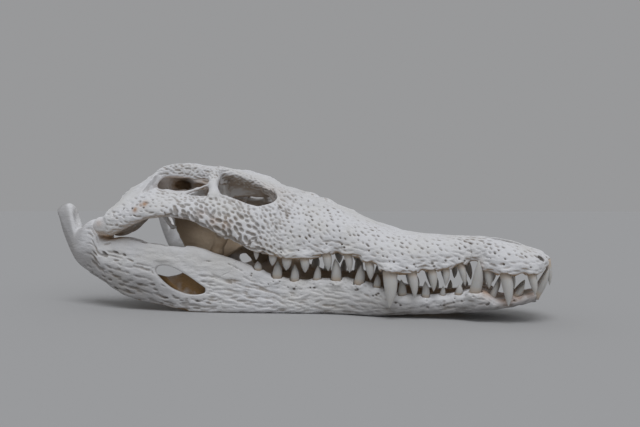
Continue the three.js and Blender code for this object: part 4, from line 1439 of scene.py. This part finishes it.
def make_pieces():
    snout = bones_of_cranium()
    front, rest = UPPER_TEETH[:FRONT_TEETH], UPPER_TEETH[FRONT_TEETH:]
    piece("premaxilla", snout["premaxilla"], cranium_smooth, rows=front, signs=(-1, 1))
    piece("nasal", snout["nasal"], cranium_smooth)
    for word, sign in SIDES:
        name = f"maxilla_{word}"
        piece(name, snout[name], cranium_smooth, rows=rest, signs=(sign,))
    behind = np.maximum(cranium_full, cheek_seam - OVERLAP - backs - wander)
    for group, name, kind in (
        ("frontal", "frontal", OUTER_BONE), ("table", "skull_table", OUTER_BONE),
        ("palate", "palatines", INNER_BONE),
    ):
        piece(name, only(behind, groups_limit(group)), cranium_smooth, kind)
    for group, name, kind in (
        ("bar", "jugal", OUTER_BONE), ("quadrate", "quadrate", OUTER_BONE), ("wing", "pterygoid", INNER_BONE),
    ):
        part = only(behind, groups_limit(group))
        for word, sign in SIDES:
            piece(f"{name}_{word}", only(part, -sign * sides), cranium_smooth, kind)
    seam_up = np.array([-20, 14, 30, 40, 52, 120.0])
    seam_back = np.array([292, 306, 316, 296, 288, 288.0])
    seam = backs - np.interp(FULL.axes[2], seam_up, seam_back)[None, None, :] + wander
    for word, sign in SIDES:
        half = only(jaw_full, -sign * sides)
        piece(f"dentary_{word}", only(half, seam), jaw_smooth, rows=LOWER_TEETH, signs=(sign,))
        piece(f"hind_jaw_{word}", only(half, -seam), jaw_smooth)


make_pieces()

# ---------- stage ----------
FLOOR_SHADE = (0.485, 0.485, 0.485, 1)
SKY_SHADE = (0.315, 0.317, 0.323, 1)
LIGHT_SHADE = (0.94, 0.96, 1.0)
FLOOR_HALF = 40.0
# Camera of the picture, in metres, degrees and millimetres, with its shift in pixels.
CAMERA_PLACE = (0.2333, -0.5521, 0.1016)
CAMERA_TURN = 21
LENS, SENSOR = 31.5, 36
SHIFT, PHOTO_WIDTH = -3.5, 640


def stage_floor():
    mesh = bpy.data.meshes.new("floor")
    corners = [(-1, -1), (1, -1), (1, 1), (-1, 1)]
    mesh.from_pydata([(FLOOR_HALF * x, FLOOR_HALF * y, 0) for x, y in corners], [], [(0, 1, 2, 3)])
    material = bpy.data.materials.new("floor")
    material.use_nodes = True
    shader = material.node_tree.nodes["Principled BSDF"]
    shader.inputs["Base Color"].default_value = FLOOR_SHADE
    shader.inputs["Roughness"].default_value = 1.0
    shader.inputs["Specular IOR Level"].default_value = 0.0
    mesh.materials.append(material)
    floor = bpy.data.objects.new("floor", mesh)
    bpy.context.scene.collection.objects.link(floor)


def soft_light(name, way, spread_deg, strength):
    data = bpy.data.lights.new(name, "SUN")
    data.energy = strength
    data.angle = math.radians(spread_deg)
    data.color = LIGHT_SHADE
    lamp = bpy.data.objects.new(name, data)
    lamp.rotation_euler = Vector(way).to_track_quat("-Z", "Y").to_euler()
    bpy.context.scene.collection.objects.link(lamp)


def stage_light():
    soft_light("high", (-0.1, 0.42, -1.0), 30, 1.02)
    soft_light("high_side", (-0.8, 0.5, -0.9), 45, 0.3)
    world = bpy.data.worlds.new("studio")
    world.use_nodes = True
    back = world.node_tree.nodes["Background"]
    back.inputs["Color"].default_value = SKY_SHADE
    back.inputs["Strength"].default_value = 1.0
    bpy.context.scene.world = world


def stage_camera():
    data = bpy.data.cameras.new("camera")
    data.lens = LENS
    data.sensor_width = SENSOR
    data.shift_y = SHIFT / PHOTO_WIDTH
    camera = bpy.data.objects.new("camera", data)
    camera.location = CAMERA_PLACE
    camera.rotation_euler = (math.radians(90), 0, math.radians(CAMERA_TURN))
    bpy.context.scene.collection.objects.link(camera)
    bpy.context.scene.camera = camera


stage_floor()
stage_light()
stage_camera()
bpy.context.scene.view_settings.view_transform = "Standard"
